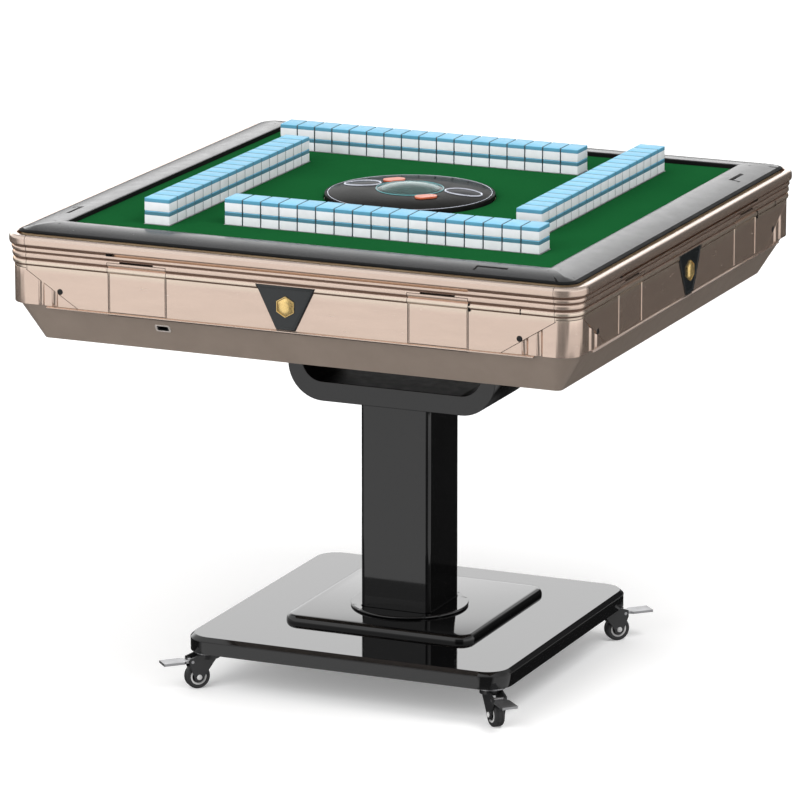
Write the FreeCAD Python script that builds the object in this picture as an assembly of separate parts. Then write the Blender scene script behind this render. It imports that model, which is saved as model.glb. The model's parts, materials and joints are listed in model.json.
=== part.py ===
"""Automatic mahjong table with eight drawers, on a folding pedestal with castors.

Sizes are in millimetres. The origin is on the floor under the column, +Z is up and the
front of the table faces -Y. The four sides are alike, each a quarter turn about Z.
"""
import FreeCAD, Part
import math
import os

Vector = FreeCAD.Vector

# Clearances
FIT_GAP = 0.3                 # between pieces that slide or swing past each other
SEAM_GAP = 0.8                # visible joint lines of the frame
RUNNING_GAP = 0.05            # round shafts in their bores, on the radius
BUTTON_GAP = 0.4

# Castors
WHEEL_DIAMETER = 40.0
WHEEL_WIDTH = 17.0
WHEEL_HUB_DIAMETER = 26.0
WHEEL_HUB_RECESS = 2.0
TYRE_ROUND = 3.0
WHEEL_HEADROOM = 9.3          # tyre to swivel head
AXLE_DIAMETER = 8.0
CASTOR_TRAIL = 20.0           # swivel axis to axle
SWIVEL_HEAD_DIAMETER = 36.0
SWIVEL_HEAD_THICKNESS = 8.0
KINGPIN_DIAMETER = 10.0
CASTOR_PLATE_DIAMETER = 46.0
CASTOR_PLATE_THICKNESS = 4.0
CASTOR_INSET = 32.0           # base edge to swivel axis
FORK_CHEEK = 3.0
FORK_SIDE_GAP = 0.8           # wheel to cheek
FORK_EYE_RADIUS = 8.0
PEDAL_PIVOT_OUT = 11.0        # axle to pedal pivot, outwards
PEDAL_PIVOT_UP = 26.0         # axle to pedal pivot, upwards
PEDAL_PIN_DIAMETER = 5.0
PEDAL_REACH = 48.0            # pedal pivot to pedal tip
PEDAL_WIDTH = 26.0
PEDAL_THICKNESS = 4.0

# Pedestal
BASE_SIZE = 550.0
BASE_THICKNESS = 27.4
BASE_CORNER_RADIUS = 42.0
BASE_BEVEL = 6.0
BASE_WALL = 3.0
CASTOR_BOSS_DIAMETER = 40.0
STEP_SIZE = 326.0
STEP_THICKNESS = 11.0
STEP_CORNER_RADIUS = 26.0
STEP_BEVEL = 3.0
STEP_WALL = 3.0
STEP_SETBACK = 22.0           # column's middle to the step's, rearwards
COLUMN_SIZE = 120.0
COLUMN_HEIGHT = 341.6
COLUMN_CORNER_RADIUS = 7.0
COLUMN_WALL = 5.0
COLLAR_MARGIN = 13.0          # column's corner to the collar's edge
COLLAR_THICKNESS = 5.0
CRADLE_WIDTH = 358.0
CRADLE_HEIGHT = 154.0
CRADLE_DEPTH = 150.0
CRADLE_ARM = 25.0
CRADLE_FLOOR = 32.0
CRADLE_CORNER_RADIUS = 60.0
CRADLE_WALL = 4.0

# Fold hinge under the tray
HINGE_PIN_DIAMETER = 12.0
HINGE_KNUCKLE_DIAMETER = 18.0
HINGE_LEAF_THICKNESS = 4.0
HINGE_LEAF_LENGTH = 62.0
HINGE_LEAF_GAP = 1.0          # knuckle to leaf plate
HINGE_KNUCKLE_LENGTH = 14.0
HINGE_OFFSET = 12.0           # cradle's rear face to the pin
HINGE_LUG_LENGTH = 22.0

# Table casing
TABLE_WIDTH = 960.0
TABLE_CORNER_RADIUS = 40.0
TRAY_BOTTOM_INSET = 48.0      # outer face to the tray's bottom edge
TRAY_TOP_INSET = 11.0         # outer face to the tray's top edge
TRAY_HEIGHT = 61.0
TRAY_WALL = 4.0
TRAY_BOTTOM_RADIUS = 10.0
TRAY_FLANGE = 29.0
LEDGE_HEIGHT = 5.0
PANEL_FLAT_HEIGHT = 61.0
PANEL_INSET = 8.0             # flat face behind the top bead
PANEL_WALL = 6.0
BAND_HEIGHT = 10.0
LOW_RIB_HEIGHT = 11.0
HIGH_RIB_HEIGHT = 9.0
BEAD_HEIGHT = 17.0
BEAD_ROUND = 6.0
BEAD_WIDTH = 12.0
RIB_BULGE = 3.0
RIB_STEP = 1.0                # each groove stands this far out of the one below
BOARD_SHELF = 26.0            # shelf behind the frame that carries the board
BOARD_SHELF_THICKNESS = 6.0
CENTRE_GROOVE_HEIGHT = 5.0
CENTRE_GROOVE_DEPTH = 6.0
CORNER_SEAM = 42.0            # outer face to the seam of a corner cap
GUARD_HEIGHT = 57.0
GUARD_REACH = 127.0           # outer face to the low end of a guard's slanted seam
GUARD_SEAM_TOP = 36.0         # outer face to the high end of that seam
FLUTE_RADIUS = 6.0
FLUTE_DEPTH = 2.8
FLUTE_START = 26.0            # end of the corner's round to the first flute
FLUTE_PITCH = 23.0
FLUTES_PER_WING = 2
PANEL_SCREW_DIAMETER = 9.0
PANEL_SCREW_SHANK = 4.0
PANEL_SCREW_SINK = 2.0
PANEL_SCREW_PROUD = 0.5
PANEL_SCREW_OUT = 98.0        # outer face to screw
PANEL_SCREW_UP = 24.0         # panel's bottom edge to screw

# Emblem plates
EMBLEM_TOP_WIDTH = 100.0
EMBLEM_BOTTOM_WIDTH = 32.0
EMBLEM_HEIGHT = 69.0
EMBLEM_POCKET = 3.0
EMBLEM_THICKNESS = 5.5
EMBLEM_STUD_DIAMETER = 30.0
EMBLEM_STUD_THICKNESS = 3.0
EMBLEM_STUD_UP = 37.0

# Drawers
DRAWER_OUT = 180.0            # outer face of the next side to a drawer's far edge
DRAWER_WIDTH = 100.0
DRAWER_FRONT_HEIGHT = 78.0
DRAWER_BOX_HEIGHT = 60.0
DRAWER_WALL = 2.5
DRAWER_SIDE_MARGIN = 2.0      # front's edge to box side
HOUSING_WALL = 3.0
CHIP_SLOT_WIDTH = 57.0
CHIP_SLOT_HEIGHT = 3.0

# Playing surface
BOARD_THICKNESS = 15.0
BOARD_EDGE_GAP = 6.0
BOARD_RISE = 2.0              # board over the frame's top
FELT_THICKNESS = 3.0
RIM_WIDTH = 63.0
RIM_INNER_HEIGHT = 10.0
RIM_OUTER_HEIGHT = 1.8
RIM_CROWN = 2.4
RIM_SHADOW_GAP = 3.0
RIM_CORNER_RADIUS = 26.0
CONTROL_SEAT = 20.0           # board under the edge of the control unit

# Tiles and their lifts
TILE_LENGTH = 31.0
TILE_DEPTH = 43.0
TILE_THICKNESS = 20.6
TILE_GAP = 0.2
TILE_LAYERS = 2
WALL_TO_RIM = 124.0           # rim to the middle of a wall
WALL_END_GAP = 58.5           # rim to the far end of a wall
WALL_CORNER_GAP = 73.0        # near end of a wall to the wall beside it
LIFT_MARGIN = 0.5
LIFT_SLOT_GAP = 1.0
LIFT_PLATE_THICKNESS = 4.0
LIFT_SPARE = 2.8
LIFT_END_GAP = 5.0            # lift to drawer housing
LIFT_POST_DIAMETER = 12.0
LIFT_POST_INSET = 84.0        # end of a lift plate to its post
GUIDE_SIZE = 36.0

# Shuffling drum and its drive
POST_DIAMETER = 80.0
POST_BORE = 60.2
POST_HEIGHT = 140.0
POST_FLANGE_DIAMETER = 140.0
POST_FLANGE_THICKNESS = 6.0
DRUM_GAP = 31.0               # drum to lift plate
DRUM_HUB_DIAMETER = 110.0
DRUM_HUB_HEIGHT = 54.0
DRUM_FLOOR_UP = 38.0          # tray's floor to the drum's floor
DRUM_WALL = 4.0
DRUM_WALL_HEIGHT = 50.0
ROLLER_DIAMETER = 40.0
ROLLER_HEIGHT = 30.0
MOTOR_SIZE = 48.0
MOTOR_HEIGHT = 30.0
MOTOR_SHAFT_DIAMETER = 8.0
MOTOR_DIRECTION = 225.0       # degrees about Z
BOARD_PCB_SIZE = 90.0
BOARD_PCB_THICKNESS = 1.6
BOARD_PCB_INSET = 25.0        # tray's bottom edge to the circuit board
PCB_STANDOFF = 6.0
TRANSFORMER_SIZE = 36.0
TRANSFORMER_HEIGHT = 28.0

# Control unit in the middle of the table
CONTROL_DIAMETER = 270.0
CONTROL_EDGE = 9.0
CONTROL_CROWN = 16.0
CONTROL_SHOULDER = 2.0        # bulge of the sloping top
CONTROL_STEM_WALL = 6.0
CONTROL_STEM_LENGTH = 130.0
DICE_WELL_DIAMETER = 92.0
DICE_WELL_DEPTH = 9.5
DICE_DOME_SEAT = 6.0          # dome's foot beside the well
DICE_DOME_HEIGHT = 9.0
DICE_DOME_WALL = 2.0
DICE_PLATE_THICKNESS = 2.0
DICE_SIZE = 9.0
DICE_OFFSET = 11.0
BUTTON_LENGTH = 36.0
BUTTON_WIDTH = 22.0
BUTTON_END_FLAT = 0.5         # straight part of each rounded end, to each side
BUTTON_DISTANCE = 68.0        # table's centre to a dice button
BUTTON_DIRECTION = 45.0       # degrees about Z, from the middle of a side
BUTTON_HEIGHT = 9.5
BUTTON_WELL_FLOOR = 6.0
BUTTON_TRAVEL = 2.0

# Sockets in the tray's sloping wall
SOCKET_OUT = 214.0            # table's middle to a socket
USB_UP = 40.5                 # tray's bottom to the socket's centre
USB_WIDTH = 20.0
USB_HEIGHT = 10.5
USB_MOUTH_WIDTH = 13.5
USB_MOUTH_HEIGHT = 6.0
USB_TONGUE_WIDTH = 10.8
USB_TONGUE_THICKNESS = 2.0
INLET_UP = 32.0
INLET_WIDTH = 32.0
INLET_HEIGHT = 24.0
INLET_MOUTH_WIDTH = 24.0
INLET_MOUTH_HEIGHT = 16.5
SOCKET_DEPTH = 26.0
SOCKET_MOUTH_DEPTH = 17.0
SOCKET_CONTACT_DEPTH = 7.0
SOCKET_PROUD = 1.0

# Levels, from the floor up
CASTOR_HEIGHT = (WHEEL_DIAMETER + WHEEL_HEADROOM + SWIVEL_HEAD_THICKNESS + FIT_GAP
                 + CASTOR_PLATE_THICKNESS)
BASE_TOP = CASTOR_HEIGHT + BASE_THICKNESS
STEP_TOP = BASE_TOP + STEP_THICKNESS
CRADLE_BOTTOM = STEP_TOP + COLUMN_HEIGHT
TRAY_BOTTOM = CRADLE_BOTTOM + CRADLE_HEIGHT
TRAY_FLOOR = TRAY_BOTTOM + TRAY_WALL
PANEL_BOTTOM = TRAY_BOTTOM + TRAY_HEIGHT
BAND_BOTTOM = PANEL_BOTTOM + PANEL_FLAT_HEIGHT
LOW_GROOVE = BAND_BOTTOM + BAND_HEIGHT
MID_GROOVE = LOW_GROOVE + LOW_RIB_HEIGHT
HIGH_GROOVE = MID_GROOVE + HIGH_RIB_HEIGHT
PANEL_TOP = HIGH_GROOVE + BEAD_HEIGHT
BOARD_TOP = PANEL_TOP + BOARD_RISE
BOARD_BOTTOM = BOARD_TOP - BOARD_THICKNESS
FELT_TOP = BOARD_TOP + FELT_THICKNESS
PLATE_BOTTOM = FELT_TOP - LIFT_PLATE_THICKNESS
LIFT_TRAVEL = TILE_LAYERS * TILE_THICKNESS + FELT_THICKNESS + BOARD_THICKNESS + LIFT_SPARE
GUIDE_TOP = PLATE_BOTTOM - LIFT_TRAVEL - LIFT_SPARE
LIFT_POST_BOTTOM = TRAY_FLOOR + LIFT_TRAVEL + LIFT_SPARE
CONTROL_BOTTOM = BOARD_TOP + FIT_GAP
DRAWER_BOTTOM = PANEL_BOTTOM + SEAM_GAP
DRAWER_FLOOR = PANEL_BOTTOM + HOUSING_WALL + FIT_GAP
DRAWER_TOP = PANEL_BOTTOM + DRAWER_FRONT_HEIGHT
HINGE_LEVEL = TRAY_BOTTOM - HINGE_LEAF_THICKNESS - HINGE_LEAF_GAP - HINGE_KNUCKLE_DIAMETER / 2

# Distances from the table's centre to the faces of one side
OUTER_FACE = TABLE_WIDTH / 2
PANEL_FACE = OUTER_FACE - PANEL_INSET
TOP_GROOVE_FACE = PANEL_FACE + 2 * RIB_STEP
FRAME_INNER = PANEL_FACE - PANEL_WALL
BEAD_INNER = OUTER_FACE - BEAD_WIDTH
SHELF_INNER = FRAME_INNER - BOARD_SHELF
BOARD_HALF = BEAD_INNER - BOARD_EDGE_GAP
RIM_OUTER = BEAD_INNER - RIM_SHADOW_GAP
RIM_INNER = RIM_OUTER - RIM_WIDTH
TRAY_BOTTOM_HALF = OUTER_FACE - TRAY_BOTTOM_INSET
TRAY_TOP_HALF = OUTER_FACE - TRAY_TOP_INSET
CORNER_EDGE = OUTER_FACE - CORNER_SEAM
DRAWER_OUTER_EDGE = OUTER_FACE - DRAWER_OUT
DRAWER_INNER_EDGE = DRAWER_OUTER_EDGE - DRAWER_WIDTH
WALL_DISTANCE = RIM_INNER - WALL_TO_RIM
WALL_END = RIM_INNER - WALL_END_GAP
WALL_ROOM = WALL_END + WALL_DISTANCE - TILE_DEPTH / 2 - WALL_CORNER_GAP
TILES_PER_ROW = round(WALL_ROOM / TILE_LENGTH)
WALL_LENGTH = TILES_PER_ROW * TILE_LENGTH
WALL_SHIFT = WALL_END - WALL_LENGTH / 2
LIFT_HALF_LENGTH = WALL_LENGTH / 2 + LIFT_MARGIN
LIFT_HALF_DEPTH = TILE_DEPTH / 2 + LIFT_MARGIN
LIFT_POST_OUT = LIFT_HALF_LENGTH - LIFT_POST_INSET
DRUM_RADIUS = WALL_DISTANCE - LIFT_HALF_DEPTH - DRUM_GAP
LIFT_END = WALL_SHIFT + LIFT_HALF_LENGTH
HOUSING_BACK = LIFT_END + LIFT_END_GAP
DRAWER_BACK = HOUSING_BACK + HOUSING_WALL + FIT_GAP
BOARD_PCB_CENTRE = TRAY_BOTTOM_HALF - BOARD_PCB_INSET - BOARD_PCB_SIZE / 2
CENTRE_HOLE_DIAMETER = CONTROL_DIAMETER - 2 * CONTROL_SEAT
DICE_DOME_DIAMETER = DICE_WELL_DIAMETER + 2 * DICE_DOME_SEAT
COLUMN_CORNER_REACH = (COLUMN_SIZE / 2 - COLUMN_CORNER_RADIUS) * math.sqrt(2) + COLUMN_CORNER_RADIUS
COLLAR_DIAMETER = 2 * (COLUMN_CORNER_REACH + COLLAR_MARGIN)
HINGE_Y = CRADLE_DEPTH / 2 + HINGE_OFFSET
FORK_INNER = WHEEL_WIDTH / 2 + FORK_SIDE_GAP
FORK_OUTER = FORK_INNER + FORK_CHEEK
SIDE_NAMES = ("front", "right", "rear", "left")


def box(x0, x1, y0, y1, z0, z1):
    """A box between two corners."""
    return Part.makeBox(x1 - x0, y1 - y0, z1 - z0, Vector(x0, y0, z0))


def upright(diameter, z0, z1, x=0.0, y=0.0):
    """A cylinder along Z."""
    return Part.makeCylinder(diameter / 2, z1 - z0, Vector(x, y, z0))


def cross_rod(diameter, x0, x1, y, z):
    """A cylinder along X."""
    return Part.makeCylinder(diameter / 2, x1 - x0, Vector(x0, y, z), Vector(1, 0, 0))


def depth_rod(diameter, y0, y1, x, z):
    """A cylinder along Y."""
    return Part.makeCylinder(diameter / 2, y1 - y0, Vector(x, y0, z), Vector(0, 1, 0))


def rounded_outline(half_x, half_y, radius, z):
    """A level rectangle with round corners."""
    arcs = []
    for sign_x, sign_y, start in ((1, -1, -90), (1, 1, 0), (-1, 1, 90), (-1, -1, 180)):
        centre = Vector(sign_x * (half_x - radius), sign_y * (half_y - radius), z)
        points = []
        for step in (0, 45, 90):
            angle = math.radians(start + step)
            points.append(centre + Vector(math.cos(angle), math.sin(angle), 0) * radius)
        arcs.append(points)
    edges = []
    for index, points in enumerate(arcs):
        edges.append(Part.Arc(*points).toShape())
        edges.append(Part.makeLine(points[2], arcs[(index + 1) % 4][0]))
    return Part.Wire(edges)


def rounded_slab(half_x, half_y, radius, z0, z1):
    """An upright block with round corners."""
    face = Part.Face(rounded_outline(half_x, half_y, radius, z0))
    return face.extrude(Vector(0, 0, z1 - z0))


def ruled_stack(sections):
    """A block through level rounded squares, each given as half width, radius and height."""
    wires = [rounded_outline(half, half, radius, z) for half, radius, z in sections]
    return Part.makeLoft(wires, True, True)


def prism(points, along):
    """A straight bar with the given flat outline."""
    return Part.Face(Part.makePolygon(points + points[:1])).extrude(along)


def revolved(points):
    """A turned body about Z from a closed outline of radius and height."""
    outline = [Vector(radius, 0, z) for radius, z in points]
    face = Part.Face(Part.makePolygon(outline + outline[:1]))
    return face.revolve(Vector(0, 0, 0), Vector(0, 0, 1), 360)


def turned(shape, degrees):
    """A copy turned about Z."""
    copy = shape.copy()
    copy.rotate(Vector(0, 0, 0), Vector(0, 0, 1), degrees)
    return copy


def moved(shape, x, y, z):
    """A copy moved from its place."""
    copy = shape.copy()
    copy.translate(Vector(x, y, z))
    return copy


def on_all_sides(shape):
    """Four copies, one for each side of the table."""
    return [turned(shape, 90 * side) for side in range(4)]


def joined(shapes):
    """One solid from pieces that meet."""
    return shapes[0].multiFuse(shapes[1:]).removeSplitter()


# Pedestal

def shell_core(sections, wall):
    """The hollow under a plate that is pressed from sheet, open at the bottom."""
    core = []
    for level, (half, radius, z) in enumerate(sections):
        core.append((half - wall, radius - wall, z - wall if level else z))
    return ruled_stack(core)


def make_base_plate():
    """The foot plate, a pressed shell with a solid boss over each castor."""
    half = BASE_SIZE / 2
    inner = half - BASE_BEVEL
    edge = BASE_TOP - BASE_BEVEL
    sections = [
        (half, BASE_CORNER_RADIUS, CASTOR_HEIGHT),
        (half, BASE_CORNER_RADIUS, edge),
        (inner, BASE_CORNER_RADIUS - BASE_BEVEL, BASE_TOP),
    ]
    bosses = []
    for _, x, y, _ in castor_places():
        bosses.append(upright(CASTOR_BOSS_DIAMETER, CASTOR_HEIGHT, BASE_TOP - BASE_WALL / 2, x, y))
    shell = ruled_stack(sections).cut(shell_core(sections, BASE_WALL))
    return joined([shell] + bosses)


def make_step_plate():
    half = STEP_SIZE / 2
    sections = [
        (half, STEP_CORNER_RADIUS, BASE_TOP),
        (half, STEP_CORNER_RADIUS, STEP_TOP - STEP_BEVEL),
        (half - STEP_BEVEL, STEP_CORNER_RADIUS - STEP_BEVEL, STEP_TOP),
    ]
    plate = ruled_stack(sections).cut(shell_core(sections, STEP_WALL))
    return moved(plate, 0, STEP_SETBACK, 0)


def make_column():
    half = COLUMN_SIZE / 2
    bore = half - COLUMN_WALL
    outside = rounded_slab(half, half, COLUMN_CORNER_RADIUS, STEP_TOP, CRADLE_BOTTOM)
    inside = rounded_slab(bore, bore, COLUMN_CORNER_RADIUS - COLUMN_WALL, STEP_TOP, CRADLE_BOTTOM)
    return outside.cut(inside)


def make_collar():
    half = COLUMN_SIZE / 2 + FIT_GAP
    ring = upright(COLLAR_DIAMETER, STEP_TOP, STEP_TOP + COLLAR_THICKNESS)
    hole = rounded_slab(half, half, COLUMN_CORNER_RADIUS + FIT_GAP, STEP_TOP,
                        STEP_TOP + COLLAR_THICKNESS)
    return ring.cut(hole)


def cradle_block(half, bottom, radius, half_depth):
    """A block with round lower corners, as high as the tray's bottom."""
    y = -half_depth
    slant = radius * math.sqrt(0.5)
    low_left = [
        Vector(-half, y, bottom + radius),
        Vector(-half + radius - slant, y, bottom + radius - slant),
        Vector(-half + radius, y, bottom),
    ]
    low_right = [Vector(-point.x, y, point.z) for point in reversed(low_left)]
    top_right = Vector(half, y, TRAY_BOTTOM)
    top_left = Vector(-half, y, TRAY_BOTTOM)
    edges = [
        Part.Arc(*low_left).toShape(),
        Part.makeLine(low_left[2], low_right[0]),
        Part.Arc(*low_right).toShape(),
        Part.makeLine(low_right[2], top_right),
        Part.makeLine(top_right, top_left),
        Part.makeLine(top_left, low_left[0]),
    ]
    return Part.Face(Part.Wire(edges)).extrude(Vector(0, 2 * half_depth, 0))


def make_cradle():
    """The U that carries the table, bent from a flat box tube that is open at its two ends."""
    def tube(wall):
        depth = CRADLE_DEPTH / 2 - wall
        outside = cradle_block(CRADLE_WIDTH / 2 - wall, CRADLE_BOTTOM + wall,
                                 CRADLE_CORNER_RADIUS - wall, depth)
        inside = cradle_block(CRADLE_WIDTH / 2 - CRADLE_ARM + wall,
                                CRADLE_BOTTOM + CRADLE_FLOOR - wall,
                                CRADLE_CORNER_RADIUS - CRADLE_ARM + wall, depth)
        return outside.cut(inside)

    return tube(0).cut(tube(CRADLE_WALL))


# Fold hinge

def hinge_places():
    """The middle of each hinge along X, over the cradle's arms."""
    arm_middle = (CRADLE_WIDTH - CRADLE_ARM) / 2
    return (-arm_middle, arm_middle)


def make_hinge_lugs():
    lugs = []
    half = HINGE_LUG_LENGTH / 2
    radius = HINGE_KNUCKLE_DIAMETER / 2
    for middle in hinge_places():
        knuckle = cross_rod(HINGE_KNUCKLE_DIAMETER, middle - half, middle + half, HINGE_Y, HINGE_LEVEL)
        web = box(middle - half, middle + half, CRADLE_DEPTH / 2, HINGE_Y,
                  HINGE_LEVEL - radius, HINGE_LEVEL + radius)
        bore = cross_rod(HINGE_PIN_DIAMETER, middle - half, middle + half, HINGE_Y, HINGE_LEVEL)
        lugs.append(joined([knuckle, web]).cut(bore))
    return lugs


def make_hinge_pins():
    half = HINGE_LUG_LENGTH / 2 + FIT_GAP + HINGE_KNUCKLE_LENGTH
    pins = []
    for middle in hinge_places():
        pins.append(cross_rod(HINGE_PIN_DIAMETER, middle - half, middle + half, HINGE_Y, HINGE_LEVEL))
    return pins


def make_hinge_leaves():
    leaves = []
    near = HINGE_LUG_LENGTH / 2 + FIT_GAP
    far = near + HINGE_KNUCKLE_LENGTH
    radius = HINGE_KNUCKLE_DIAMETER / 2
    plate_bottom = TRAY_BOTTOM - HINGE_LEAF_THICKNESS
    for middle in hinge_places():
        pieces = [box(middle - far, middle + far, HINGE_Y - radius, HINGE_Y + HINGE_LEAF_LENGTH,
                      plate_bottom, TRAY_BOTTOM)]
        for start in (middle - far, middle + near):
            end = start + HINGE_KNUCKLE_LENGTH
            knuckle = cross_rod(HINGE_KNUCKLE_DIAMETER, start, end, HINGE_Y, HINGE_LEVEL)
            web = box(start, end, HINGE_Y - radius, HINGE_Y + radius, HINGE_LEVEL, plate_bottom)
            pieces += [knuckle, web]
        bore = cross_rod(HINGE_PIN_DIAMETER + 2 * RUNNING_GAP, middle - far, middle + far,
                         HINGE_Y, HINGE_LEVEL)
        leaves.append(joined(pieces).cut(bore))
    return leaves


# Castors, first made about a swivel axis on the origin with the trail along +X

def castor_places():
    """Name, swivel axis and trail direction of each castor."""
    out = BASE_SIZE / 2 - CASTOR_INSET
    return (
        ("front_right", out, -out, -45),
        ("rear_right", out, out, 45),
        ("rear_left", -out, out, 135),
        ("front_left", -out, -out, 225),
    )


def set_castor(shape, x, y, direction):
    """A castor piece turned to its direction and moved to its corner."""
    return moved(turned(shape, direction), x, y, 0)


def make_castor_plate():
    head_top = CASTOR_HEIGHT - CASTOR_PLATE_THICKNESS
    plate = upright(CASTOR_PLATE_DIAMETER, head_top, CASTOR_HEIGHT)
    kingpin = upright(KINGPIN_DIAMETER, head_top - FIT_GAP - SWIVEL_HEAD_THICKNESS, CASTOR_HEIGHT)
    return joined([plate, kingpin])


def pedal_pivot():
    """The pedal's pivot, as a distance from the swivel axis and a height."""
    return CASTOR_TRAIL + PEDAL_PIVOT_OUT, WHEEL_DIAMETER / 2 + PEDAL_PIVOT_UP


def make_castor_fork():
    head_top = CASTOR_HEIGHT - CASTOR_PLATE_THICKNESS - FIT_GAP
    head_bottom = head_top - SWIVEL_HEAD_THICKNESS
    axle_z = WHEEL_DIAMETER / 2
    pivot_x, pivot_z = pedal_pivot()
    pieces = [upright(SWIVEL_HEAD_DIAMETER, head_bottom, head_top)]
    back = -SWIVEL_HEAD_DIAMETER / 4
    for y0 in (-FORK_OUTER, FORK_INNER):
        outline = [
            Vector(back, y0, head_top),
            Vector(back, y0, head_bottom),
            Vector(CASTOR_TRAIL - FORK_EYE_RADIUS, y0, axle_z),
            Vector(CASTOR_TRAIL + FORK_EYE_RADIUS, y0, axle_z),
            Vector(pivot_x + PEDAL_PIN_DIAMETER, y0, pivot_z - PEDAL_PIN_DIAMETER),
            Vector(pivot_x + PEDAL_PIN_DIAMETER, y0, pivot_z + PEDAL_PIN_DIAMETER),
            Vector(SWIVEL_HEAD_DIAMETER / 2, y0, head_top),
        ]
        cheek = prism(outline, Vector(0, FORK_CHEEK, 0))
        eye = depth_rod(2 * FORK_EYE_RADIUS, y0, y0 + FORK_CHEEK, CASTOR_TRAIL, axle_z)
        pieces += [cheek, eye]
    pieces.append(depth_rod(AXLE_DIAMETER, -FORK_OUTER, FORK_OUTER, CASTOR_TRAIL, axle_z))
    kingpin_bore = upright(KINGPIN_DIAMETER + 2 * RUNNING_GAP, head_bottom, head_top)
    pedal_bore = depth_rod(PEDAL_PIN_DIAMETER + 2 * RUNNING_GAP, -FORK_OUTER, FORK_OUTER,
                           pivot_x, pivot_z)
    return joined(pieces).cut(kingpin_bore).cut(pedal_bore)


def make_castor_wheel():
    half = WHEEL_WIDTH / 2
    axle_z = WHEEL_DIAMETER / 2
    tyre = depth_rod(WHEEL_DIAMETER, -half, half, CASTOR_TRAIL, axle_z)
    edges = [edge for edge in tyre.Edges if edge.Closed]
    tyre = tyre.makeFillet(min(TYRE_ROUND, half / 2), edges)
    cuts = [depth_rod(AXLE_DIAMETER + 2 * RUNNING_GAP, -half, half, CASTOR_TRAIL, axle_z)]
    for start in (-half, half - WHEEL_HUB_RECESS):
        recess = depth_rod(WHEEL_HUB_DIAMETER, start, start + WHEEL_HUB_RECESS, CASTOR_TRAIL, axle_z)
        boss = depth_rod(WHEEL_HUB_DIAMETER / 2, start, start + WHEEL_HUB_RECESS, CASTOR_TRAIL, axle_z)
        cuts.append(recess.cut(boss))
    for cutter in cuts:
        tyre = tyre.cut(cutter)
    return tyre


def make_castor_pedal():
    pivot_x, pivot_z = pedal_pivot()
    between = FORK_INNER - FIT_GAP
    barrel = depth_rod(2 * PEDAL_THICKNESS, -between, between, pivot_x, pivot_z)
    pin = depth_rod(PEDAL_PIN_DIAMETER, -FORK_OUTER, FORK_OUTER, pivot_x, pivot_z)
    neck_end = pivot_x + 2 * PEDAL_PIN_DIAMETER
    low = pivot_z - PEDAL_THICKNESS / 2
    neck = box(pivot_x, neck_end + FIT_GAP, -between, between, low, low + PEDAL_THICKNESS)
    half = PEDAL_WIDTH / 2
    tip = pivot_x + PEDAL_REACH
    outline = [
        Vector(neck_end, -between, low),
        Vector(neck_end + PEDAL_THICKNESS, -half, low),
        Vector(tip, -half, low),
        Vector(tip, half, low),
        Vector(neck_end + PEDAL_THICKNESS, half, low),
        Vector(neck_end, between, low),
    ]
    tread = prism(outline, Vector(0, 0, PEDAL_THICKNESS))
    return joined([barrel, pin, neck, tread])


# Casing of the table

def tray_half(z, grow=0.0):
    """Half width of the tray's sloping wall at a height."""
    share = (z - TRAY_BOTTOM) / TRAY_HEIGHT
    return TRAY_BOTTOM_HALF + (TRAY_TOP_HALF - TRAY_BOTTOM_HALF) * share + grow


def tray_block(low, high, grow):
    """The tray's outer form between two heights, grown outwards or drawn in."""
    sections = [
        (tray_half(low, grow), TRAY_BOTTOM_RADIUS + grow, low),
        (tray_half(high, grow), TABLE_CORNER_RADIUS + grow, high),
    ]
    return ruled_stack(sections)


def socket_slot(width, height, up, grow):
    """The straight hole in the front wall of the tray that takes a socket."""
    z = TRAY_BOTTOM + up
    face = tray_half(z)
    return box(-SOCKET_OUT - width / 2 - grow, -SOCKET_OUT + width / 2 + grow,
               -face - SOCKET_DEPTH, -face + SOCKET_DEPTH,
               z - height / 2 - grow, z + height / 2 + grow)


def make_tray():
    outside = tray_block(TRAY_BOTTOM, PANEL_BOTTOM, 0)
    inside = tray_block(TRAY_FLOOR, PANEL_BOTTOM, -TRAY_WALL)
    shell = outside.cut(inside)
    flange_bottom = PANEL_BOTTOM - TRAY_WALL
    flange_half = tray_half(flange_bottom) - TRAY_WALL / 2
    hole = TRAY_TOP_HALF - TRAY_FLANGE
    flange = rounded_slab(flange_half, flange_half, TABLE_CORNER_RADIUS, flange_bottom, PANEL_BOTTOM)
    flange = flange.cut(box(-hole, hole, -hole, hole, flange_bottom, PANEL_BOTTOM))
    ledge = box(-DRAWER_OUTER_EDGE, DRAWER_OUTER_EDGE, -PANEL_FACE, -TRAY_TOP_HALF + TRAY_WALL,
                PANEL_BOTTOM - LEDGE_HEIGHT, PANEL_BOTTOM)
    shell = joined([shell, flange] + on_all_sides(ledge))
    shell = shell.cut(socket_slot(USB_WIDTH, USB_HEIGHT, USB_UP, FIT_GAP))
    return shell.cut(turned(socket_slot(INLET_WIDTH, INLET_HEIGHT, INLET_UP, FIT_GAP), 180))


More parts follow.
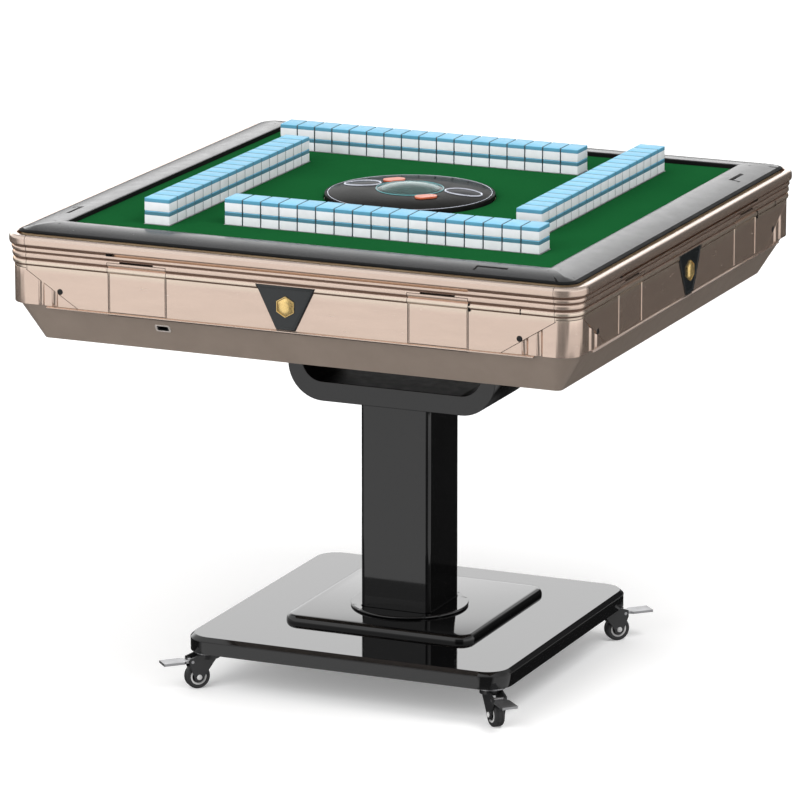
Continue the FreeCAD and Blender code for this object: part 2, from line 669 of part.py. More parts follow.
def frame_section(x):
    """The frame's section on the front side, as a flat face at x."""
    def at(depth, z):
        return Vector(x, -depth, z)

    ribs = (
        (BAND_BOTTOM, LOW_GROOVE, PANEL_FACE, PANEL_FACE),
        (LOW_GROOVE, MID_GROOVE, PANEL_FACE, PANEL_FACE + RIB_STEP),
        (MID_GROOVE, HIGH_GROOVE, PANEL_FACE + RIB_STEP, TOP_GROOVE_FACE),
    )
    edges = [Part.makeLine(at(PANEL_FACE, PANEL_BOTTOM), at(PANEL_FACE, BAND_BOTTOM))]
    for low, high, low_depth, high_depth in ribs:
        crest = at((low_depth + high_depth) / 2 + RIB_BULGE, (low + high) / 2)
        edges.append(Part.Arc(at(low_depth, low), crest, at(high_depth, high)).toShape())
    groove = TOP_GROOVE_FACE
    run = OUTER_FACE - groove
    slant = math.sqrt(0.5)
    low_arc = [
        at(groove, HIGH_GROOVE),
        at(groove + run * slant, HIGH_GROOVE + BEAD_ROUND * (1 - slant)),
        at(OUTER_FACE, HIGH_GROOVE + BEAD_ROUND),
    ]
    high_arc = [
        at(OUTER_FACE, PANEL_TOP - BEAD_ROUND),
        at(OUTER_FACE - BEAD_ROUND * (1 - slant), PANEL_TOP - BEAD_ROUND * (1 - slant)),
        at(OUTER_FACE - BEAD_ROUND, PANEL_TOP),
    ]
    edges.append(Part.Arc(*low_arc).toShape())
    edges.append(Part.makeLine(low_arc[2], high_arc[0]))
    edges.append(Part.Arc(*high_arc).toShape())
    inner = [
        high_arc[2],
        at(BEAD_INNER, PANEL_TOP),
        at(BEAD_INNER, BOARD_BOTTOM),
        at(SHELF_INNER, BOARD_BOTTOM),
        at(SHELF_INNER, BOARD_BOTTOM - BOARD_SHELF_THICKNESS),
        at(FRAME_INNER, BOARD_BOTTOM - BOARD_SHELF_THICKNESS),
        at(FRAME_INNER, PANEL_BOTTOM),
        at(PANEL_FACE, PANEL_BOTTOM),
    ]
    for start, end in zip(inner, inner[1:]):
        edges.append(Part.makeLine(start, end))
    return Part.Face(Part.Wire(edges))


def frame_bar(x0, x1):
    """A straight length of the frame along the front side."""
    return frame_section(x0).extrude(Vector(x1 - x0, 0, 0))


def guard_wedge(grow):
    """The space of a corner guard at the front right corner, under its slanted seams."""
    low = PANEL_BOTTOM - SEAM_GAP
    high = PANEL_BOTTOM + GUARD_HEIGHT + grow
    rise = GUARD_HEIGHT / (GUARD_REACH - GUARD_SEAM_TOP)
    side = grow * math.hypot(1, 1 / rise)
    foot = OUTER_FACE - GUARD_REACH - side - SEAM_GAP / rise
    head = OUTER_FACE - GUARD_SEAM_TOP - side + grow / rise
    beyond = OUTER_FACE + TABLE_CORNER_RADIUS
    front = [Vector(foot, -beyond, low), Vector(head, -beyond, high), Vector(beyond, -beyond, high),
             Vector(beyond, -beyond, low)]
    right = [Vector(beyond, -foot, low), Vector(beyond, -head, high), Vector(beyond, -beyond, high),
             Vector(beyond, -beyond, low)]
    thickness = beyond - SHELF_INNER
    front_wedge = prism(front, Vector(0, thickness, 0))
    right_wedge = prism(right, Vector(-thickness, 0, 0))
    return joined([front_wedge, right_wedge])


def trapezoid(width_top, width_bottom, z0, z1, depth0, depth1):
    """A bar with a trapezoid outline on the front side, between two depths."""
    outline = [
        Vector(-width_bottom / 2, -depth1, z0),
        Vector(width_bottom / 2, -depth1, z0),
        Vector(width_top / 2, -depth1, z1),
        Vector(-width_top / 2, -depth1, z1),
    ]
    return prism(outline, Vector(0, depth1 - depth0, 0))


def screw_places():
    """The screws of one side, as x and z."""
    x = OUTER_FACE - PANEL_SCREW_OUT
    z = PANEL_BOTTOM + PANEL_SCREW_UP
    return ((-x, z), (x, z))


def make_side_panel():
    """The ribbed panel of the front side, with its two drawer openings."""
    panel = frame_bar(-CORNER_EDGE, CORNER_EDGE)
    wedge = guard_wedge(SEAM_GAP)
    beyond = OUTER_FACE + TABLE_CORNER_RADIUS
    cuts = [wedge, wedge.mirror(Vector(0, 0, 0), Vector(1, 0, 0))]
    for sign in (-1, 1):
        ends = sorted((sign * DRAWER_INNER_EDGE, sign * DRAWER_OUTER_EDGE))
        cuts.append(box(ends[0], ends[1], -beyond, -SHELF_INNER, PANEL_BOTTOM,
                        DRAWER_TOP + SEAM_GAP))
        middle = sum(ends) / 2
        cuts.append(box(middle - CHIP_SLOT_WIDTH / 2, middle + CHIP_SLOT_WIDTH / 2, -beyond,
                        -SHELF_INNER, DRAWER_TOP, DRAWER_TOP + CHIP_SLOT_HEIGHT))
    cuts.append(box(-DRAWER_OUTER_EDGE, DRAWER_OUTER_EDGE, -beyond,
                    -TOP_GROOVE_FACE + CENTRE_GROOVE_DEPTH, HIGH_GROOVE - CENTRE_GROOVE_HEIGHT / 2,
                    HIGH_GROOVE + CENTRE_GROOVE_HEIGHT / 2))
    cuts.append(trapezoid(EMBLEM_TOP_WIDTH, EMBLEM_BOTTOM_WIDTH, PANEL_BOTTOM,
                          PANEL_BOTTOM + EMBLEM_HEIGHT, PANEL_FACE - EMBLEM_POCKET, beyond))
    for x, z in screw_places():
        cuts.append(depth_rod(PANEL_SCREW_DIAMETER + 2 * FIT_GAP, -beyond,
                              -PANEL_FACE + PANEL_SCREW_SINK, x, z))
        cuts.append(depth_rod(PANEL_SCREW_SHANK + 2 * RUNNING_GAP, -beyond, -SHELF_INNER, x, z))
    for cutter in cuts:
        panel = panel.cut(cutter)
    return panel


def corner_bar(x0):
    """The frame round the front right corner, from x0 on the front to the same on the right."""
    axis = OUTER_FACE - TABLE_CORNER_RADIUS
    front = frame_bar(x0, axis)
    bend = frame_section(axis).revolve(Vector(axis, -axis, 0), Vector(0, 0, 1), 90)
    diagonal = Vector(1, 1, 0)
    right = front.mirror(Vector(0, 0, 0), diagonal)
    return joined([front, bend, right])


def make_corner_cap():
    return corner_bar(CORNER_EDGE + SEAM_GAP).cut(guard_wedge(SEAM_GAP))


def make_corner_guard():
    """The fluted guard under a corner cap."""
    axis = OUTER_FACE - TABLE_CORNER_RADIUS
    guard = corner_bar(OUTER_FACE - GUARD_REACH).common(guard_wedge(0))
    guard = guard.common(box(0, OUTER_FACE, -OUTER_FACE, 0, PANEL_BOTTOM, PANEL_TOP))
    low = PANEL_BOTTOM
    high = PANEL_BOTTOM + GUARD_HEIGHT
    out = PANEL_FACE + FLUTE_RADIUS - FLUTE_DEPTH
    for step in range(FLUTES_PER_WING):
        along = axis - FLUTE_START - step * FLUTE_PITCH
        guard = guard.cut(upright(2 * FLUTE_RADIUS, low, high, along, -out))
        guard = guard.cut(upright(2 * FLUTE_RADIUS, low, high, out, -along))
    return guard


def make_panel_screws():
    """The two screws of the front side."""
    screws = []
    for x, z in screw_places():
        head = depth_rod(PANEL_SCREW_DIAMETER, -PANEL_FACE - PANEL_SCREW_PROUD,
                         -PANEL_FACE + PANEL_SCREW_SINK, x, z)
        shank = depth_rod(PANEL_SCREW_SHANK, -PANEL_FACE, -FRAME_INNER + PANEL_WALL, x, z)
        screws.append(joined([head, shank]))
    return screws


def make_emblem_plate():
    """The dark plate in the middle of the front side."""
    back = PANEL_FACE - EMBLEM_POCKET
    face = back + EMBLEM_THICKNESS
    plate = trapezoid(EMBLEM_TOP_WIDTH - 2 * FIT_GAP, EMBLEM_BOTTOM_WIDTH - 2 * FIT_GAP,
                      PANEL_BOTTOM + FIT_GAP, PANEL_BOTTOM + EMBLEM_HEIGHT - FIT_GAP, back, face)
    return plate


def make_emblem_stud():
    """The plain round stud on an emblem plate."""
    face = PANEL_FACE - EMBLEM_POCKET + EMBLEM_THICKNESS
    middle = PANEL_BOTTOM + EMBLEM_STUD_UP
    stud = Part.makeCone(EMBLEM_STUD_DIAMETER / 2, EMBLEM_STUD_DIAMETER / 2 - EMBLEM_STUD_THICKNESS,
                         EMBLEM_STUD_THICKNESS, Vector(0, -face, middle), Vector(0, -1, 0))
    return stud


def make_socket(width, height, up, mouth_width, mouth_height, contacts):
    """A socket in the front wall of the tray, flush with its slope, with its contacts."""
    z = TRAY_BOTTOM + up
    face = tray_half(z)
    shape = socket_slot(width, height, up, 0).common(tray_block(TRAY_BOTTOM, PANEL_BOTTOM, SOCKET_PROUD))
    mouth = box(-SOCKET_OUT - mouth_width / 2, -SOCKET_OUT + mouth_width / 2, -face - SOCKET_DEPTH,
                -face + SOCKET_MOUTH_DEPTH, z - mouth_height / 2, z + mouth_height / 2)
    shape = shape.cut(mouth)
    pieces = [shape]
    for offset_x, offset_z, size_x, size_z in contacts:
        x = -SOCKET_OUT + offset_x
        pieces.append(box(x - size_x / 2, x + size_x / 2, -face + SOCKET_CONTACT_DEPTH,
                          -face + SOCKET_DEPTH, z + offset_z - size_z / 2, z + offset_z + size_z / 2))
    return joined(pieces)


def make_usb_socket():
    tongue = ((0, USB_MOUTH_HEIGHT / 6, USB_TONGUE_WIDTH, USB_TONGUE_THICKNESS),)
    return make_socket(USB_WIDTH, USB_HEIGHT, USB_UP, USB_MOUTH_WIDTH, USB_MOUTH_HEIGHT, tongue)


def make_power_inlet():
    blade = (INLET_MOUTH_WIDTH / 12, INLET_MOUTH_HEIGHT / 4)
    spread = INLET_MOUTH_WIDTH / 4
    pins = (
        (-spread, -INLET_MOUTH_HEIGHT / 6) + blade,
        (spread, -INLET_MOUTH_HEIGHT / 6) + blade,
        (0, INLET_MOUTH_HEIGHT / 6) + blade,
    )
    inlet = make_socket(INLET_WIDTH, INLET_HEIGHT, INLET_UP, INLET_MOUTH_WIDTH, INLET_MOUTH_HEIGHT, pins)
    return turned(inlet, 180)


# Drawers, first made on the right half of the front side

def drawer_sides():
    """The outer faces of a drawer's box along X."""
    return DRAWER_INNER_EDGE + DRAWER_SIDE_MARGIN, DRAWER_OUTER_EDGE - DRAWER_SIDE_MARGIN


def make_drawer():
    """One moulded drawer: the ribbed front and the open box behind it."""
    front = frame_bar(DRAWER_INNER_EDGE + SEAM_GAP, DRAWER_OUTER_EDGE - SEAM_GAP)
    front = front.common(box(DRAWER_INNER_EDGE, DRAWER_OUTER_EDGE, -OUTER_FACE, -FRAME_INNER,
                             DRAWER_BOTTOM, DRAWER_TOP))
    left, right = drawer_sides()
    top = DRAWER_FLOOR + DRAWER_BOX_HEIGHT
    tub = box(left, right, -FRAME_INNER, -DRAWER_BACK, DRAWER_FLOOR, top)
    hollow = box(left + DRAWER_WALL, right - DRAWER_WALL, -FRAME_INNER, -DRAWER_BACK - DRAWER_WALL,
                 DRAWER_FLOOR + DRAWER_WALL, top)
    return joined([front, tub.cut(hollow)])


def make_drawer_housing():
    """The open channel that a drawer runs in, behind the panel and on the tray's flange."""
    left, right = drawer_sides()
    inner_left = left - FIT_GAP
    inner_right = right + FIT_GAP
    front = FRAME_INNER - FIT_GAP
    top = DRAWER_FLOOR + DRAWER_BOX_HEIGHT
    block = box(inner_left - HOUSING_WALL, inner_right + HOUSING_WALL, -front, -HOUSING_BACK,
                PANEL_BOTTOM, top)
    channel = box(inner_left, inner_right, -front, -HOUSING_BACK - HOUSING_WALL,
                  PANEL_BOTTOM + HOUSING_WALL, top)
    return block.cut(channel)


def drawer_copies(shape):
    """The eight places of a drawer piece, as name and shape."""
    half_turn_pair = (
        ("right", shape),
        ("left", shape.mirror(Vector(0, 0, 0), Vector(1, 0, 0))),
    )
    copies = []
    for side, side_name in enumerate(SIDE_NAMES):
        for hand, piece in half_turn_pair:
            copies.append((side_name + "_" + hand, turned(piece, 90 * side)))
    return copies


# Playing surface

def lift_slots(z0, z1):
    """The four slots that the tile lifts pass through."""
    gap = LIFT_SLOT_GAP
    slot = box(WALL_SHIFT - LIFT_HALF_LENGTH - gap, WALL_SHIFT + LIFT_HALF_LENGTH + gap,
               -WALL_DISTANCE - LIFT_HALF_DEPTH - gap, -WALL_DISTANCE + LIFT_HALF_DEPTH + gap, z0, z1)
    return on_all_sides(slot)


def pierced(sheet, hole_diameter, z0, z1):
    """A sheet with the four lift slots and a hole in its middle."""
    for slot in lift_slots(z0, z1):
        sheet = sheet.cut(slot)
    return sheet.cut(upright(hole_diameter, z0, z1))


def make_board():
    sheet = rounded_slab(BOARD_HALF, BOARD_HALF, RIM_CORNER_RADIUS, BOARD_BOTTOM, BOARD_TOP)
    return pierced(sheet, CENTRE_HOLE_DIAMETER, BOARD_BOTTOM, BOARD_TOP)


def make_felt():
    half = RIM_INNER - FIT_GAP
    sheet = box(-half, half, -half, half, BOARD_TOP, FELT_TOP)
    return pierced(sheet, CONTROL_DIAMETER + 2 * LIFT_SLOT_GAP, BOARD_TOP, FELT_TOP)


def make_rim_rail():
    """One crowned rail of the rim on the front side, mitred at both ends."""
    inner = RIM_INNER
    outer = RIM_OUTER
    high = BOARD_TOP + RIM_INNER_HEIGHT
    low = BOARD_TOP + RIM_OUTER_HEIGHT
    start = -outer

    def at(depth, z):
        return Vector(start, -depth, z)

    crown = at((inner + outer) / 2, (high + low) / 2 + RIM_CROWN)
    edges = [
        Part.makeLine(at(inner, BOARD_TOP), at(inner, high)),
        Part.Arc(at(inner, high), crown, at(outer, low)).toShape(),
        Part.makeLine(at(outer, low), at(outer, BOARD_TOP)),
        Part.makeLine(at(outer, BOARD_TOP), at(inner, BOARD_TOP)),
    ]
    rail = Part.Face(Part.Wire(edges)).extrude(Vector(2 * outer, 0, 0))
    mitre = prism([Vector(-outer - 1, -outer - 1, BOARD_TOP), Vector(outer + 1, -outer - 1, BOARD_TOP),
                   Vector(0, 0, BOARD_TOP)], Vector(0, 0, high))
    rail = rail.common(mitre)
    return rail.common(rounded_slab(outer, outer, RIM_CORNER_RADIUS, BOARD_TOP - 1, high + RIM_CROWN))


# Tiles and lifts, on the front side

def lift_post_places():
    return (WALL_SHIFT - LIFT_POST_OUT, WALL_SHIFT + LIFT_POST_OUT)


def make_tile_wall():
    """One wall: a double row of tiles, laid end to end."""
    tiles = []
    start = WALL_SHIFT - WALL_LENGTH / 2
    for layer in range(TILE_LAYERS):
        low = FELT_TOP + layer * TILE_THICKNESS
        for place in range(TILES_PER_ROW):
            x = start + place * TILE_LENGTH
            tiles.append(box(x + TILE_GAP / 2, x + TILE_LENGTH - TILE_GAP / 2,
                             -WALL_DISTANCE - TILE_DEPTH / 2, -WALL_DISTANCE + TILE_DEPTH / 2,
                             low, low + TILE_THICKNESS - TILE_GAP))
    return tiles


def make_lift_platform():
    plate = box(WALL_SHIFT - LIFT_HALF_LENGTH, WALL_SHIFT + LIFT_HALF_LENGTH,
                -WALL_DISTANCE - LIFT_HALF_DEPTH, -WALL_DISTANCE + LIFT_HALF_DEPTH,
                PLATE_BOTTOM, FELT_TOP)
    posts = []
    for x in lift_post_places():
        posts.append(upright(LIFT_POST_DIAMETER, LIFT_POST_BOTTOM, PLATE_BOTTOM, x, -WALL_DISTANCE))
    return joined([plate] + posts)


def make_lift_guides():
    """The two guide blocks of the front lift, standing on the tray's floor."""
    guides = []
    half = GUIDE_SIZE / 2
    for x in lift_post_places():
        block = box(x - half, x + half, -WALL_DISTANCE - half, -WALL_DISTANCE + half,
                    TRAY_FLOOR, GUIDE_TOP)
        bore = upright(LIFT_POST_DIAMETER + 2 * RUNNING_GAP, TRAY_FLOOR, GUIDE_TOP, x, -WALL_DISTANCE)
        guides.append(block.cut(bore))
    return guides


# Shuffling drum and electronics

def make_centre_post():
    flange_top = TRAY_FLOOR + POST_FLANGE_THICKNESS
    flange = upright(POST_FLANGE_DIAMETER, TRAY_FLOOR, flange_top)
    tube = upright(POST_DIAMETER, TRAY_FLOOR, TRAY_FLOOR + POST_HEIGHT)
    bore = upright(POST_BORE, TRAY_FLOOR, TRAY_FLOOR + POST_HEIGHT)
    return joined([flange, tube]).cut(bore)


def make_mixing_drum():
    bore = POST_DIAMETER / 2 + RUNNING_GAP
    hub = DRUM_HUB_DIAMETER / 2
    rim = DRUM_RADIUS
    low = TRAY_FLOOR + POST_FLANGE_THICKNESS + FIT_GAP
    floor = TRAY_FLOOR + DRUM_FLOOR_UP
    outline = [
        (bore, low),
        (hub, low),
        (hub, floor),
        (rim, floor),
        (rim, floor + DRUM_WALL_HEIGHT),
        (rim - DRUM_WALL, floor + DRUM_WALL_HEIGHT),
        (rim - DRUM_WALL, floor + DRUM_WALL),
        (hub, floor + DRUM_WALL),
        (hub, low + DRUM_HUB_HEIGHT),
        (bore, low + DRUM_HUB_HEIGHT),
    ]
    return revolved(outline)


def roller_place():
    """The drive roller's axis, beside the drum."""
    reach = DRUM_RADIUS + ROLLER_DIAMETER / 2 + FIT_GAP
    angle = math.radians(MOTOR_DIRECTION)
    return reach * math.cos(angle), reach * math.sin(angle)


def make_drum_motor():
    x, y = roller_place()
    half = MOTOR_SIZE / 2
    body = box(-half, half, -half, half, TRAY_FLOOR, TRAY_FLOOR + MOTOR_HEIGHT)
    body = moved(turned(body, MOTOR_DIRECTION), x, y, 0)
    shaft = upright(MOTOR_SHAFT_DIAMETER, TRAY_FLOOR, roller_bottom() + ROLLER_HEIGHT, x, y)
    return joined([body, shaft])


def roller_bottom():
    return TRAY_FLOOR + DRUM_FLOOR_UP + DRUM_WALL


def make_drive_roller():
    x, y = roller_place()
    low = roller_bottom()
    roller = upright(ROLLER_DIAMETER, low, low + ROLLER_HEIGHT, x, y)
    bore = upright(MOTOR_SHAFT_DIAMETER + 2 * RUNNING_GAP, low, low + ROLLER_HEIGHT, x, y)
    return roller.cut(bore)


def make_main_board():
    """The control electronics: a circuit board on standoffs with a transformer."""
    half = BOARD_PCB_SIZE / 2
    low = TRAY_FLOOR + PCB_STANDOFF
    top = low + BOARD_PCB_THICKNESS
    x = BOARD_PCB_CENTRE
    pieces = [box(x - half, x + half, x - half, x + half, low, top)]
    corner = half - PCB_STANDOFF
    for sign_x in (-1, 1):
        for sign_y in (-1, 1):
            pieces.append(upright(PCB_STANDOFF, TRAY_FLOOR, low, x + sign_x * corner, x + sign_y * corner))
    part = TRANSFORMER_SIZE
    pieces.append(box(x - part, x, x - part, x, top, top + TRANSFORMER_HEIGHT))
    for step in range(3):
        place = x - corner + step * corner
        pieces.append(upright(part / 3, top, top + TRANSFORMER_HEIGHT / 2, place, x + corner - PCB_STANDOFF))
    return joined(pieces)


# Control unit

def button_prism(grow, z0, z1, sign):
    """An oval block at a dice button's place, on the front or the rear of the control unit."""
    oval = rounded_slab(BUTTON_LENGTH / 2 + grow, BUTTON_WIDTH / 2 + grow,
                        BUTTON_WIDTH / 2 + grow - BUTTON_END_FLAT, z0, z1)
    return turned(moved(oval, 0, sign * BUTTON_DISTANCE, 0), BUTTON_DIRECTION)


def make_control_unit():
    rim = CONTROL_DIAMETER / 2
    edge = CONTROL_BOTTOM + CONTROL_EDGE
    crown = CONTROL_BOTTOM + CONTROL_CROWN
    seat = DICE_DOME_DIAMETER / 2
    stem = POST_BORE / 2 - RUNNING_GAP
    bore = stem - CONTROL_STEM_WALL
    stem_low = CONTROL_BOTTOM - CONTROL_STEM_LENGTH
    well = DICE_WELL_DIAMETER / 2
    floor = crown - DICE_WELL_DEPTH

    def at(radius, z):
        return Vector(radius, 0, z)

    shoulder = at((rim + seat) / 2, (edge + crown) / 2 + CONTROL_SHOULDER)
    points = [at(seat, crown), at(well, crown), at(well, floor), at(bore, floor), at(bore, stem_low),
              at(stem, stem_low), at(stem, CONTROL_BOTTOM), at(rim, CONTROL_BOTTOM), at(rim, edge)]
    edges = [Part.makeLine(start, end) for start, end in zip(points, points[1:])]
    edges.append(Part.Arc(at(rim, edge), shoulder, at(seat, crown)).toShape())
    unit = Part.Face(Part.Wire(edges)).revolve(Vector(0, 0, 0), Vector(0, 0, 1), 360)
    for sign in (-1, 1):
        unit = unit.cut(button_prism(BUTTON_GAP, CONTROL_BOTTOM + BUTTON_WELL_FLOOR,
                                     crown + CONTROL_CROWN, sign))
    return unit


def make_dice_button(sign):
    low = CONTROL_BOTTOM + BUTTON_WELL_FLOOR + BUTTON_TRAVEL + FIT_GAP
    return button_prism(0, low, low + BUTTON_HEIGHT, sign)


def make_dice_dome():
    seat = CONTROL_BOTTOM + CONTROL_CROWN
    base = DICE_DOME_DIAMETER / 2
    rise = DICE_DOME_HEIGHT
    radius = (base * base + rise * rise) / (2 * rise)
    centre = Vector(0, 0, seat + rise - radius)
    cap = Part.makeSphere(radius, centre)
    hollow = Part.makeSphere(radius - DICE_DOME_WALL, centre)
    keep = upright(2 * base, seat, seat + 2 * rise)
    return cap.cut(hollow).common(keep)


def make_dice_plate():
    """The turning plate in the dice well, on its spindle."""
    floor = CONTROL_BOTTOM + CONTROL_CROWN - DICE_WELL_DEPTH
    bore = POST_BORE / 2 - RUNNING_GAP - CONTROL_STEM_WALL
    low = floor + FIT_GAP
    plate = upright(DICE_WELL_DIAMETER - 2 * BUTTON_GAP, low, low + DICE_PLATE_THICKNESS)
    spindle = upright(2 * bore - 2 * RUNNING_GAP, low - CONTROL_CROWN, low)
    return joined([plate, spindle])


def make_dice():
    low = CONTROL_BOTTOM + CONTROL_CROWN - DICE_WELL_DEPTH + FIT_GAP + DICE_PLATE_THICKNESS
    half = DICE_SIZE / 2
    die = box(-half, half, -half, half, low, low + DICE_SIZE)
    return [moved(turned(die, 20), DICE_OFFSET, 3, 0), moved(turned(die, 65), -DICE_OFFSET, -2, 0)]


def write_node(name, shapes):
    """Writes one named piece, or one group of like pieces."""
    shape = shapes[0] if len(shapes) == 1 else Part.makeCompound(shapes)
    shape.exportStep(os.path.join("parts", name + ".step"))


def all_nodes():
    """Every named piece of the table with its solids."""
    nodes = {
        "base_plate": [make_base_plate()],
        "base_step_plate": [make_step_plate()],
        "column": [make_column()],
        "column_collar": [make_collar()],
        "cradle_bracket": [make_cradle()],
        "fold_hinge_lugs": make_hinge_lugs(),
        "fold_hinge_pins": make_hinge_pins(),
        "fold_hinge_leaves": make_hinge_leaves(),
        "bottom_tray": [make_tray()],
        "side_panels": on_all_sides(make_side_panel()),
        "corner_caps": on_all_sides(make_corner_cap()),
        "corner_guards": on_all_sides(make_corner_guard()),
        "panel_screws": [turned(screw, 90 * side) for side in range(4) for screw in make_panel_screws()],
        "emblem_plates": on_all_sides(make_emblem_plate()) + on_all_sides(make_emblem_stud()),
        "usb_socket": [make_usb_socket()],
        "power_inlet": [make_power_inlet()],
        "play_board": [make_board()],
        "felt_cover": [make_felt()],
        "rim_rails": on_all_sides(make_rim_rail()),
        "lift_guides": [turned(block, 90 * side) for side in range(4) for block in make_lift_guides()],
        "centre_post": [make_centre_post()],
        "drum_motor": [make_drum_motor()],
        "main_board": [make_main_board()],
        "mixing_drum": [make_mixing_drum()],
        "drive_roller": [make_drive_roller()],
        "control_unit": [make_control_unit()],
        "dice_dome": [make_dice_dome()],
        "dice_plate": [make_dice_plate()] + make_dice(),
        "dice_button_front": [make_dice_button(-1)],
        "dice_button_rear": [make_dice_button(1)],
    }
    plates = [set_castor(make_castor_plate(), x, y, angle) for _, x, y, angle in castor_places()]
    nodes["castor_plates"] = plates
    for name, x, y, angle in castor_places():
        nodes["castor_fork_" + name] = [set_castor(make_castor_fork(), x, y, angle)]
        nodes["castor_wheel_" + name] = [set_castor(make_castor_wheel(), x, y, angle)]
        nodes["castor_pedal_" + name] = [set_castor(make_castor_pedal(), x, y, angle)]
    for name, shape in drawer_copies(make_drawer()):
        nodes["drawer_" + name] = [shape]
    nodes["drawer_housings"] = [shape for _, shape in drawer_copies(make_drawer_housing())]
    wall = make_tile_wall()
    platform = make_lift_platform()
    for side, name in enumerate(SIDE_NAMES):
        nodes["lift_platform_" + name] = [turned(platform, 90 * side)]
        nodes["tile_wall_" + name] = [turned(tile, 90 * side) for tile in wall]
    return nodes


os.makedirs("parts", exist_ok=True)
for node_name, node_shapes in all_nodes().items():
    write_node(node_name, node_shapes)
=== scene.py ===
import json
import math
import random

import bmesh
import bpy
from mathutils import Matrix, Vector
from mathutils.bvhtree import BVHTree
from mathutils.geometry import tessellate_polygon


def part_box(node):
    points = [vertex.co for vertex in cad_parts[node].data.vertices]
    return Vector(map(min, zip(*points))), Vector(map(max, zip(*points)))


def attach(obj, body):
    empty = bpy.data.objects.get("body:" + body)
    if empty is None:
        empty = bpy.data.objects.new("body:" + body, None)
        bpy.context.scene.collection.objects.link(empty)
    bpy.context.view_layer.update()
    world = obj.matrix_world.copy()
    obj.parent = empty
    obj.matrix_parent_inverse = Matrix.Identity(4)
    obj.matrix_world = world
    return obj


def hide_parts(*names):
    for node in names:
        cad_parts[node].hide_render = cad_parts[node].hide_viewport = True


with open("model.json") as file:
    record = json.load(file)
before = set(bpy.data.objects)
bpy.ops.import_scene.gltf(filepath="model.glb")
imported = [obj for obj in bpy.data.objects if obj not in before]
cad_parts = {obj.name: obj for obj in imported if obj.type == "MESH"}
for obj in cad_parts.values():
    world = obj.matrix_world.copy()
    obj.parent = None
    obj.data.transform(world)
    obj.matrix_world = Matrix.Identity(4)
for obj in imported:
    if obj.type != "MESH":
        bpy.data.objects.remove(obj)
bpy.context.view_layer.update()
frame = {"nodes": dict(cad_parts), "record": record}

MM = 0.001
SIDES = ("front", "right", "rear", "left")
HANDS = (("right", 1), ("left", -1))
DRAWERS = ["drawer_%s_%s" % (side, hand) for side in SIDES for hand, _ in HANDS]
CORNERS = {"front_right": -45, "rear_right": 45, "rear_left": 135, "front_left": 225}
nodes = frame["nodes"]


# Shader helpers


class Graph:
    """A tree of shader nodes, with short ways to add and join them."""

    def __init__(self, tree):
        self.tree = tree

    def node(self, kind):
        return self.tree.nodes.new("ShaderNode" + kind)

    def join(self, source, target):
        self.tree.links.new(source, target)

    def put(self, value, socket):
        """Sets a socket to a number or a colour, or joins another node's output to it."""
        if isinstance(value, (int, float)):
            socket.default_value = value
        elif isinstance(value, tuple):
            socket.default_value = value + (1.0,)
        else:
            self.join(value, socket)

    def math(self, kind, a, b=0.0):
        node = self.node("Math")
        node.operation = kind
        self.put(a, node.inputs[0])
        self.put(b, node.inputs[1])
        return node.outputs["Value"]

    def remap(self, value, low, high, to_low, to_high, kind="LINEAR"):
        node = self.node("MapRange")
        node.interpolation_type = kind
        self.join(value, node.inputs["Value"])
        for key, number in (("From Min", low), ("From Max", high), ("To Min", to_low), ("To Max", to_high)):
            node.inputs[key].default_value = number
        return node.outputs["Result"]

    def mix(self, share, a, b, kind="MIX"):
        """A mix of two colours."""
        node = self.node("Mix")
        node.data_type = "RGBA"
        node.blend_type = kind
        for index, value in ((0, share), (6, a), (7, b)):
            self.put(value, node.inputs[index])
        return node.outputs[2]

    def between(self, share, a, b):
        """A mix of two numbers."""
        node = self.node("Mix")
        node.data_type = "FLOAT"
        for index, value in ((0, share), (2, a), (3, b)):
            self.put(value, node.inputs[index])
        return node.outputs[0]

    def shown(self):
        """1 for what the camera sees itself or through glass, and 0 for all other rays."""
        path = self.node("LightPath").outputs
        return self.math("MAXIMUM", path["Is Camera Ray"], path["Is Transmission Ray"])


class Shader(Graph):
    """A material under construction, in the coordinates of its object."""

    def __init__(self, name):
        self.material = bpy.data.materials.new(name)
        self.material.use_nodes = True
        super().__init__(self.material.node_tree)
        self.body = self.tree.nodes["Principled BSDF"]
        self.place = self.node("TexCoord").outputs["Object"]

    def stretched(self, scale):
        node = self.node("Mapping")
        node.inputs["Scale"].default_value = scale
        self.join(self.place, node.inputs["Vector"])
        return node.outputs["Vector"]

    def noise(self, scale, detail=4.0, rough=0.5, vector=None):
        node = self.node("TexNoise")
        node.inputs["Scale"].default_value = scale
        node.inputs["Detail"].default_value = detail
        node.inputs["Roughness"].default_value = rough
        self.join(vector or self.place, node.inputs["Vector"])
        return node.outputs["Fac"]

    def height(self):
        node = self.node("SeparateXYZ")
        self.join(self.place, node.inputs["Vector"])
        return node.outputs["Z"]

    def attribute(self, name):
        node = self.node("Attribute")
        node.attribute_name = name
        return node.outputs["Fac"]

    def bump(self, height, strength, distance):
        node = self.node("Bump")
        node.inputs["Strength"].default_value = strength
        node.inputs["Distance"].default_value = distance
        self.join(height, node.inputs["Height"])
        self.join(node.outputs["Normal"], self.body.inputs["Normal"])

    def set(self, **values):
        for key, value in values.items():
            self.put(value, self.body.inputs[key.replace("_", " ")])


def shade(colour, factor):
    return tuple(min(1.0, c * factor) for c in colour)


